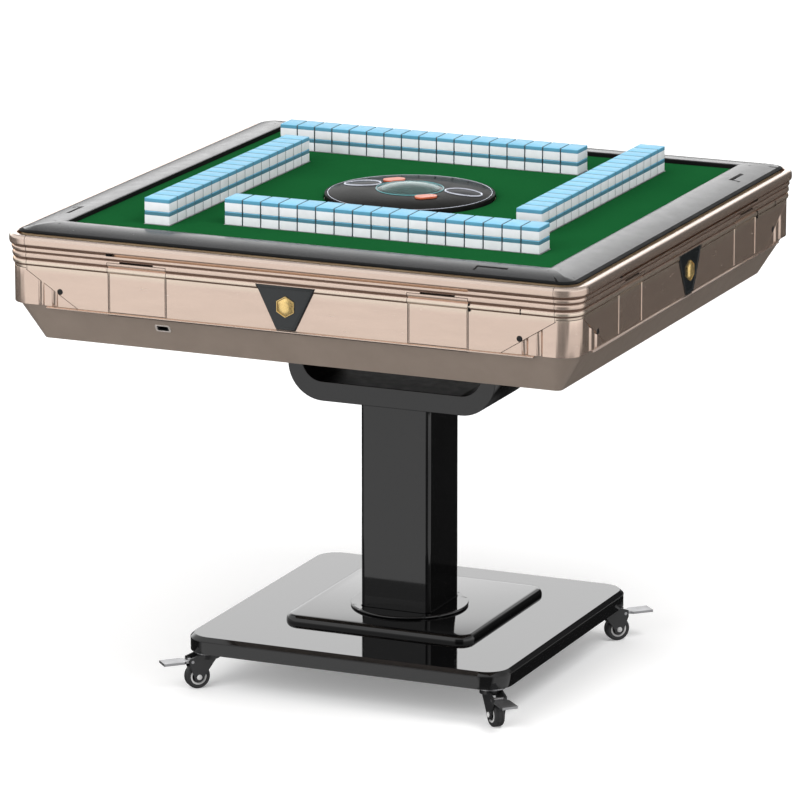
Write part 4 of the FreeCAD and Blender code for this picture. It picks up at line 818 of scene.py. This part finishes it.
def tile_pieces():
    shape, slots = tile_shape((TILE_X - TILE_GAP) / 2, TILE_Y / 2, TILE_Z - LAYER_GAP)
    for quarter, side in enumerate(SIDES):
        build = Build()
        tints = []
        for layer in range(TILE_LAYERS):
            for place in range(TILES_LONG):
                x = WALL_START + (place + 0.5) * TILE_X
                spot = Matrix.Translation((x, WALL_Y, FELT_TOP + layer * TILE_Z))
                build.add(shape, wall_tile_slots(slots, place, layer), turn(90 * quarter) @ spot)
                tints += [random_shade.random()] * len(shape[0])
        obj = build.make("tiles_" + side, "lift_" + side, TILE_SLOTS, "tile_blue_white")
        shade_of = obj.data.attributes.new("tint", "FLOAT", "POINT")
        shade_of.data.foreach_set("value", tints)
        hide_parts("tile_wall_" + side)


tile_pieces()


# Plates in the middle of the sides, each with a gold stud

PLATE_LOW, PLATE_HIGH, PLATE_FACE = 0.6571, 0.7256, 0.4745
PLATE_OUTLINE = ((-0.0157, PLATE_LOW), (0.0157, PLATE_LOW), (0.0497, PLATE_HIGH), (-0.0497, PLATE_HIGH))
PLATE_LEVELS = ((0.0, -0.0055), (0.0, -0.0012), (0.0004, -0.0004), (0.0012, 0.0), (0.0042, 0.0),
                (0.0048, -0.0007), (0.0054, -0.0007))     # inset, and distance out of the face
STUD_UP = 0.0364
STUD_RING = ((0.0166, -0.0007), (0.0166, 0.0009), (0.0162, 0.0014), (0.0152, 0.0014), (0.0148, 0.0008),
             (0.0148, -0.0007))
STUD_STONE = ((0.0140, -0.0007), (0.0140, 0.0008), (0.0118, 0.0021), (0.0070, 0.0029))


def emblem_pieces():
    plate, stud = Build(), Build()
    for quarter in range(4):
        rings = []
        for inset, out in PLATE_LEVELS:
            rings.append([(p.x, -PLATE_FACE - out, p.y) for p in ring_of(PLATE_OUTLINE, -inset)])
        plate.add(loft(rings), 0, turn(90 * quarter))
        spot = face_out(0.0, PLATE_LOW + STUD_UP, PLATE_FACE, 90 * quarter) @ turn(30)
        stud.add(hoop(STUD_RING, 6), 0, spot)
        stud.add(lathe(STUD_STONE, 6), 0, spot)
    obj = plate.make("side_plates", "tabletop", ["emblem_black"], "emblem_black")
    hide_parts("emblem_plates")
    stud.make("side_studs", "tabletop", ["gold"])


emblem_pieces()


# Panel screws with a raised cross

SCREW_X, SCREW_Z, PANEL_FACE = 0.382, 0.6806, 0.472
SCREW_HEAD = ((0.0020, -0.0020), (0.0042, -0.0016), (0.0045, -0.0004), (0.0043, 0.0002), (0.0036, 0.0005),
              (0.0030, 0.0005), (0.0029, 0.0001), (0.0010, 0.0001))
CROSS_BARS = ((0.0027, 0.0005), (0.0005, 0.0027))


def screw_pieces():
    build = Build()
    for quarter in range(4):
        for sign in (-1, 1):
            spot = face_out(sign * SCREW_X, SCREW_Z, PANEL_FACE, 90 * quarter)
            build.add(lathe(SCREW_HEAD, 32), 0, spot)
            for half_x, half_y in CROSS_BARS:
                build.add(soft_block(half_x, half_y, 0.0002, -0.0004, 0.00045, 0.0001, 2), 0, spot)
    obj = build.make("screw_heads", "tabletop", ["screw_black"], "screw_black")
    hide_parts("panel_screws")


screw_pieces()


# Castor wheels: tread with grooves, pale hub ring, hub disc and axle caps

CASTOR_OUT, TRAIL, AXLE_Z = 0.243, 0.020, 0.020
TYRE_HALF = ((0.0132, 0.0078), (0.0160, 0.0085), (0.0180, 0.0082), (0.0194, 0.0070), (0.0200, 0.0050),
             (0.0200, 0.0034), (0.0194, 0.0031), (0.0194, 0.0025), (0.0200, 0.0022))
TYRE = [(r, -z) for r, z in TYRE_HALF] + list(reversed(TYRE_HALF))
HUB_RING = ((0.0132, 0.0060), (0.0132, 0.0079), (0.0122, 0.0083), (0.0106, 0.0080), (0.0103, 0.0060))
HUB_DISC = ((0.0104, 0.0030), (0.0104, 0.0060), (0.0075, 0.0058), (0.0062, 0.0068), (0.0042, 0.0070),
            (0.0042, 0.0030))
AXLE_CAP = ((0.0044, 0.0), (0.0044, 0.0004), (0.0040, 0.0012), (0.0026, 0.0018), (0.0008, 0.0020))
WHEEL_HALF, FORK_GAP, FORK_WALL = 0.0085, 0.0008, 0.0030


def wheel_pieces():
    reach = CASTOR_OUT * math.sqrt(2) + TRAIL
    for corner, angle in CORNERS.items():
        spot = (turn(angle) @ Matrix.Translation((reach, 0, AXLE_Z))
                @ Matrix.Rotation(math.radians(90), 4, "X"))
        wheel, caps = Build(), Build()
        wheel.add(hoop(TYRE, 56), 0, spot)
        for sign in (-1, 1):
            wheel.add(hoop([(r, sign * z) for r, z in HUB_RING], 48), 1, spot)
            wheel.add(hoop([(r, sign * z) for r, z in HUB_DISC], 40), 2, spot)
            flip = Matrix.Identity(4) if sign > 0 else Matrix.Rotation(math.pi, 4, "X")
            face = Matrix.Translation((0, 0, WHEEL_HALF + FORK_GAP + FORK_WALL))
            caps.add(lathe(AXLE_CAP, 24), 0, spot @ flip @ face)
        obj = wheel.make("wheel_" + corner, "wheel_" + corner, ["castor_tyre", "hub_grey", "castor_black"],
                         "castor_tyre")
        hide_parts("castor_wheel_" + corner)
        caps.make("axle_caps_" + corner, "castor_" + corner, ["hub_grey"])


wheel_pieces()


# Control unit: trims on its sloping top, the turning plate and two dice

PAD_AT, PAD_HALF = (0.087, 0.012), (0.0292, 0.0202)
PAD_SEAT, PAD_SWELL, PAD_SINK = 0.00035, 0.0006, 0.001
PAD_LINE_HALF, PAD_LINE = (0.0300, 0.0210), 0.0016
OUTER_LINE_RADIUS, OUTER_LINE = 0.1300, 0.0006
DOME_RING_OUT, DOME_RING = 0.0014, 0.0010
LINE_LIFT = 0.0002


def control_trims():
    skin = skin_of("control_unit")

    def on_top(points, lift):
        """Points in plan, laid on the control unit's top."""
        down = Vector((0, 0, -1))
        return [(x, y, skin.ray_cast(Vector((x, y, 1.0)), down)[0].z + lift) for x, y in points]

    lines, panels = Build(), Build()
    for sign in (-1, 1):
        at = (sign * PAD_AT[0], PAD_AT[1])
        lines.add(bead(on_top(oval(*PAD_LINE_HALF, at), LINE_LIFT), PAD_LINE))
        rings = []
        for share in (1.0, 0.85, 0.6, 0.3, 0.02):
            ring = oval(PAD_HALF[0] * share, PAD_HALF[1] * share, at)
            rings.append(on_top(ring, PAD_SEAT + PAD_SWELL * (1 - share * share)))
        panels.add(loft([[(x, y, z - PAD_SINK) for x, y, z in rings[0]]] + rings))
    lines.add(bead(on_top(oval(OUTER_LINE_RADIUS, OUTER_LINE_RADIUS, count=128), 0.0), OUTER_LINE))
    lines.make("control_lines", "control", ["ring_pale"])
    panels.make("control_panels", "control", ["panel_black"])
    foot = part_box("dice_dome")[1][0] + DOME_RING_OUT
    piece("dome_ring", bead(on_top(oval(foot, foot, count=96), LINE_LIFT), DOME_RING), "control", ["teal_glow"])


control_trims()

TURNTABLE_THICK, TURNTABLE_EDGE, TURNTABLE_SINK = 0.002, 0.0006, 0.0003
DIE_HALF, DIE_CORNER, DIE_EDGE, DIE_OUT = 0.0045, 0.0012, 0.0010, 0.011
PIP_STEP, PIP_WALL, PIP_TOP = 0.0021, 0.00008, 0.0001
# Each die: its side of the centre, the size and material number of its pips, and their places on top
DICE = ((-1, 0.0015, 1, ((0, 0),)), (1, 0.0009, 2, ((-1, -1), (1, 1), (-1, 1), (1, -1))))


def dice_pieces():
    low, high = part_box("dice_plate")
    r = (high[0] - low[0]) / 2
    z0 = low[2]
    z1 = z0 + TURNTABLE_THICK
    sunk = z1 - TURNTABLE_SINK
    plate = lathe([(r - TURNTABLE_EDGE, z0), (r, z0 + TURNTABLE_EDGE), (r, z1 - TURNTABLE_EDGE),
                   (r - TURNTABLE_EDGE, z1), (r - 0.003, z1), (r - 0.0034, sunk), (0.012, sunk),
                   (0.0116, z1), (0.001, z1)], 72)
    obj = piece("dice_turntable", plate, "dice_turntable", ["teal_glow"])
    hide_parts("dice_plate")
    dice = Build()
    for sign, size, slot, pips in DICE:
        spot = Matrix.Translation((sign * DIE_OUT, 0, z1))
        dice.add(soft_block(DIE_HALF, DIE_HALF, DIE_CORNER, 0.0, 2 * DIE_HALF, DIE_EDGE, 4), 0, spot)
        pip = lathe([(size, 0.0), (size, PIP_WALL), (size * 0.4, PIP_TOP)], 20)
        for px, py in pips:
            dice.add(pip, slot, spot @ Matrix.Translation((px * PIP_STEP, py * PIP_STEP, 2 * DIE_HALF)))
    dice.make("dice", "dice_turntable", ["dice_white", "pip_red", "pip_black"], "dice_white")


dice_pieces()


# Sides: dark blocks beside the drawers as painted shade of a notch and two seam ticks, drawer liners and
# ridges, a lip, and a bezel round the USB socket

# Left, right, lower and upper edge of each painted-shade block
NOTCH_SHADES = ((-0.3010, -0.2938, 0.7410, 0.7500), (0.3001, 0.3027, 0.7150, 0.7272),
          (0.3832, 0.3848, 0.7180, 0.7266))
NOTCH_SHADE_CORNER, NOTCH_SHADE_BACK, NOTCH_SHADE_PROUD, NOTCH_SHADE_EDGE = 0.0004, -0.0040, 0.00015, 0.0002
LINER_AT, LINER_HALF, LINER_CORNER = (0.250, -0.4104), (0.0452, 0.0553), 0.006
LINER_LEVELS = ((0.0, 0.6626), (0.0, 0.7090), (0.0004, 0.7096), (0.0010, 0.7096), (0.0014, 0.7090),
                (0.0014, 0.6660), (0.0020, 0.6644), (0.0036, 0.6640))
LIP_BACK = tray_high[0] - 0.002
LIP_SECTION = ((LIP_BACK, 0.6564), (0.4716, 0.6564), (0.4719, 0.6563), (0.4752, 0.6544), (0.4754, 0.6541),
               (0.4752, 0.6538), (LIP_BACK, 0.6528))
LIP_STATIONS = ((-0.405, 0.0004), (-0.4046, 0.0), (-0.2, 0.0), (0.0, 0.0), (0.2, 0.0), (0.4046, 0.0),
                (0.405, 0.0004))             # place along the side, and inset
RIDGE_IN, RIDGE_FACE = 0.0016, 0.4718
RIDGE_SECTION = ((-0.0014, -0.0004), (-0.0014, 0.0002), (-0.0003, 0.0010), (0.0003, 0.0010),
                 (0.0014, 0.0002), (0.0014, -0.0004))
RIDGE_STATIONS = ((0.6578, 0.5), (0.6584, 1.0), (0.690, 1.0), (0.7236, 1.0), (0.7242, 0.5))   # height, size
TRAY_WALL_OUT, TRAY_WALL_UP, TRAY_FOOT, TRAY_FOOT_OUT = 0.037, 0.061, 0.5956, 0.432
USB_UP = 0.0405
# Half width, half height, corner radius and height of the bezel's rings
BEZEL_LEVELS = ((0.0130, 0.0068, 0.0034, -0.0008), (0.0130, 0.0068, 0.0034, 0.0010),
                (0.0126, 0.0064, 0.0030, 0.0015), (0.0106, 0.0054, 0.0024, 0.0016),
                (0.0096, 0.0047, 0.0018, 0.0012), (0.0094, 0.0045, 0.0016, -0.0008))


# Dark blocks flush with the panel, as painted shade of a notch and two seam ticks
def side_inlays():
    skin = skin_of("side_panels")
    build = Build()
    for x0, x1, z0, z1 in NOTCH_SHADES:
        x, z = (x0 + x1) / 2, (z0 + z1) / 2
        hits = [skin.ray_cast(Vector((at, -1, z)), Vector((0, 1, 0)))[0] for at in (x0 + 0.0004, x1 + 0.0006)]
        face = max(-hit.y for hit in hits if hit is not None)
        block = soft_block((x1 - x0) / 2, (z1 - z0) / 2, NOTCH_SHADE_CORNER, NOTCH_SHADE_BACK, NOTCH_SHADE_PROUD, NOTCH_SHADE_EDGE, 3)
        for quarter in range(4):
            build.add(block, 0, face_out(x, z, face, 90 * quarter))
    build.make("side_inlays", "tabletop", ["mark_dark"])


def drawer_liners():
    for quarter, side in enumerate(SIDES):
        for hand, sign in HANDS:
            at = (sign * LINER_AT[0], LINER_AT[1])
            rings = [rounded(LINER_HALF[0] - inset, LINER_HALF[1] - inset, LINER_CORNER - inset * 0.8, z, 4, at)
                     for inset, z in LINER_LEVELS]
            piece("drawer_liner_%s_%s" % (side, hand), loft(rings), "drawer_%s_%s" % (side, hand),
                  ["liner_grey"], matrix=turn(90 * quarter))


def panel_lips():
    """A sloping lip along the foot of each side, just under the drawers."""
    build = Build()
    rings = [[(x, -max(depth - inset, LIP_BACK), z) for depth, z in LIP_SECTION] for x, inset in LIP_STATIONS]
    for quarter in range(4):
        build.add(loft(rings), 0, turn(90 * quarter))
    build.make("panel_lips", "tabletop", ["trim_pale"])


def drawer_ridges():
    """A slim ridge along the upright edges of each drawer front."""
    low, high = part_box("drawer_front_right")
    for quarter, side in enumerate(SIDES):
        for hand, sign in HANDS:
            build = Build()
            for edge in (low[0] + RIDGE_IN, high[0] - RIDGE_IN):
                build.add(loft([[(sign * edge + wide * size, -RIDGE_FACE - out * size, z)
                                 for wide, out in RIDGE_SECTION] for z, size in RIDGE_STATIONS]))
            build.make("drawer_ridges_%s_%s" % (side, hand), "drawer_%s_%s" % (side, hand), ["champagne"],
                       matrix=turn(90 * quarter))


def usb_bezel():
    """A pale ring on the tray's sloping front, round the USB socket."""
    low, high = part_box("usb_socket")
    lean = math.atan2(TRAY_WALL_OUT, TRAY_WALL_UP)
    out = TRAY_FOOT_OUT + USB_UP * TRAY_WALL_OUT / TRAY_WALL_UP
    place = Matrix.Translation(((low[0] + high[0]) / 2, -out, TRAY_FOOT + USB_UP))
    up = Vector((0, -math.sin(lean), math.cos(lean)))
    normal = Vector((0, -math.cos(lean), -math.sin(lean)))
    spot = place @ Matrix(((1, 0, 0), up, normal)).transposed().to_4x4()
    rings = [rounded(half_x, half_y, radius, z, 6) for half_x, half_y, radius, z in BEZEL_LEVELS]
    piece("usb_bezel", closed_loft(rings), "tabletop", ["bezel_pale"], matrix=spot)


side_inlays()
drawer_liners()
panel_lips()
drawer_ridges()
usb_bezel()


# Floor, light and camera

FLOOR_HALF = 40.0
FLOOR_UNSEEN = (0.75, 0.74, 0.73)
FLOOR_LOW, FLOOR_HIGH = (0.90, 0.90, 0.90), (0.92, 0.92, 0.92)
FLOOR_LIT_FROM, FLOOR_LIT_TO = 0.7, 3.0      # distances over which the floor turns to white
FLOOR_GLOW_NEAR, FLOOR_GLOW_FAR = 0.22, 0.40
# Brightness of the screens: heading in degrees from the front, positive to the right, and level
SCREENS_LOW = ((-180, 0.02), (-66, 0.06), (-40, 1.0), (-17, 1.0), (-7, 0.12), (40, 0.12), (50, 0.8),
               (132, 0.8), (142, 0.03))
SCREENS_MIDDLE = ((-180, 0.3), (-174, 1.9), (-160, 2.1), (-125, 2.1), (-105, 1.0), (-17, 1.0), (-7, 0.15),
                  (40, 0.15), (50, 1.1), (130, 1.1), (142, 0.05), (178, 0.05))
SCREENS_HIGH = ((-180, 1.0), (-160, 1.0), (-130, 1.6), (-105, 1.0), (-17, 1.0), (-7, 0.15), (40, 0.15),
                (50, 1.1), (138, 1.1), (148, 0.2), (170, 0.2), (176, 1.6))
SCREENS_ABOVE = ((-180, 0.3), (-130, 0.3), (-105, 1.0), (-20, 1.0), (10, 0.8), (60, 0.8), (120, 0.5))
BELOW_LEVEL = 0.2
BRIGHTEST = 4.0
# Name, place, target, size and watts
LAMPS = (("key", (-1.4, -4.1, 2.7), (0, 0, 0.5), 3.4, 135.0), ("top", (-0.3, 0.4, 3.6), (0, 0, 0.7), 3.0, 6.0),
         ("fill", (2.8, -0.8, 4.4), (0, 0, 0.7), 2.2, 95.0))
CAMERA_AT, CAMERA_AIM = (3.5931, -8.3026, 2.7401), (-0.38644, 0.88873, -0.24663)
CAMERA_SENSOR, CAMERA_LENS, CAMERA_REACH = 36.0, 263.43, 200.0


def floor_piece():
    mesh = bpy.data.meshes.new("floor")
    corners = [(sx * FLOOR_HALF, sy * FLOOR_HALF, 0) for sx, sy in ((-1, -1), (1, -1), (1, 1), (-1, 1))]
    mesh.from_pydata(corners, [], [(0, 1, 2, 3)])
    floor = new_object("floor", mesh)
    floor.visible_glossy = False
    s = Shader("floor")
    cloud = s.remap(s.noise(0.7, 3.0), 0.3, 0.7, 0.0, 1.0)
    shown = s.shown()
    s.set(Base_Color=s.mix(shown, FLOOR_UNSEEN, s.mix(cloud, FLOOR_LOW, FLOOR_HIGH)), Roughness=0.9,
          Specular_IOR_Level=0.0)
    away = s.node("VectorMath")
    away.operation = "LENGTH"
    s.join(s.place, away.inputs[0])
    level = s.remap(away.outputs["Value"], FLOOR_LIT_FROM, FLOOR_LIT_TO, FLOOR_GLOW_NEAR, FLOOR_GLOW_FAR,
                    "SMOOTHSTEP")
    s.set(Emission_Color=(1.0, 1.0, 1.0), Emission_Strength=s.math("MULTIPLY", shown, level))
    mesh.materials.append(s.material)


class Studio(Graph):
    """The studio round the object: white screens, with darker gaps between them."""

    def __init__(self):
        world = bpy.data.worlds.new("studio")
        bpy.context.scene.world = world
        world.use_nodes = True
        super().__init__(world.node_tree)
        self.tree.nodes.clear()
        split = self.node("SeparateXYZ")
        self.join(self.node("TexCoord").outputs["Generated"], split.inputs[0])
        x, y, z = split.outputs
        heading = self.math("ARCTAN2", x, self.math("MULTIPLY", y, -1.0))
        self.around = self.math("ADD", self.math("DIVIDE", heading, 2 * math.pi), 0.5)
        self.up = self.math("MULTIPLY", self.math("ARCSINE", z), 180 / math.pi)

    def screens(self, stops):
        """Brightness by heading."""
        node = self.node("ValToRGB")
        ramp = node.color_ramp
        while len(ramp.elements) < len(stops):
            ramp.elements.new(0.5)
        for element, (heading, level) in zip(ramp.elements, stops):
            element.position = heading / 360 + 0.5
            element.color = (level / BRIGHTEST, level / BRIGHTEST, level / BRIGHTEST, 1.0)
        self.join(self.around, node.inputs[0])
        return self.math("MULTIPLY", node.outputs["Color"], BRIGHTEST)

    def fade(self, low, high, below, above):
        """One brightness under the first elevation and another over the second, in degrees."""
        return self.between(self.remap(self.up, low, high, 0.0, 1.0, "SMOOTHSTEP"), below, above)

    def finish(self, level):
        """Joins the brightness to the world, which is white to the camera itself and through glass."""
        back = self.node("Background")
        back.inputs["Color"].default_value = (1.0, 1.0, 1.0, 1.0)
        self.join(self.between(self.shown(), level, 1.0), back.inputs["Strength"])
        self.join(back.outputs[0], self.node("OutputWorld").inputs[0])


def studio_light():
    studio = Studio()
    upper = studio.fade(19, 25, studio.screens(SCREENS_MIDDLE), studio.screens(SCREENS_HIGH))
    ring = studio.fade(0, 6, studio.screens(SCREENS_LOW), upper)
    studio.finish(studio.fade(-48, -30, BELOW_LEVEL, studio.fade(20, 38, ring, studio.screens(SCREENS_ABOVE))))


def aim(obj, place, direction):
    obj.location = place
    obj.rotation_euler = Vector(direction).to_track_quat("-Z", "Y").to_euler()


def lamp(name, place, target, size, power):
    data = bpy.data.lights.new(name, "AREA")
    data.shape = "RECTANGLE"
    data.size = data.size_y = size
    data.energy = power
    obj = new_object(name, data)
    obj.visible_glossy = False
    aim(obj, place, Vector(target) - Vector(place))


def camera_piece():
    data = bpy.data.cameras.new("camera")
    data.sensor_width = CAMERA_SENSOR
    data.lens = CAMERA_LENS
    data.clip_end = CAMERA_REACH
    obj = new_object("camera", data)
    aim(obj, CAMERA_AT, CAMERA_AIM)
    bpy.context.scene.camera = obj


floor_piece()
studio_light()
for settings in LAMPS:
    lamp(*settings)
camera_piece()
bpy.context.scene.view_settings.view_transform = "Standard"
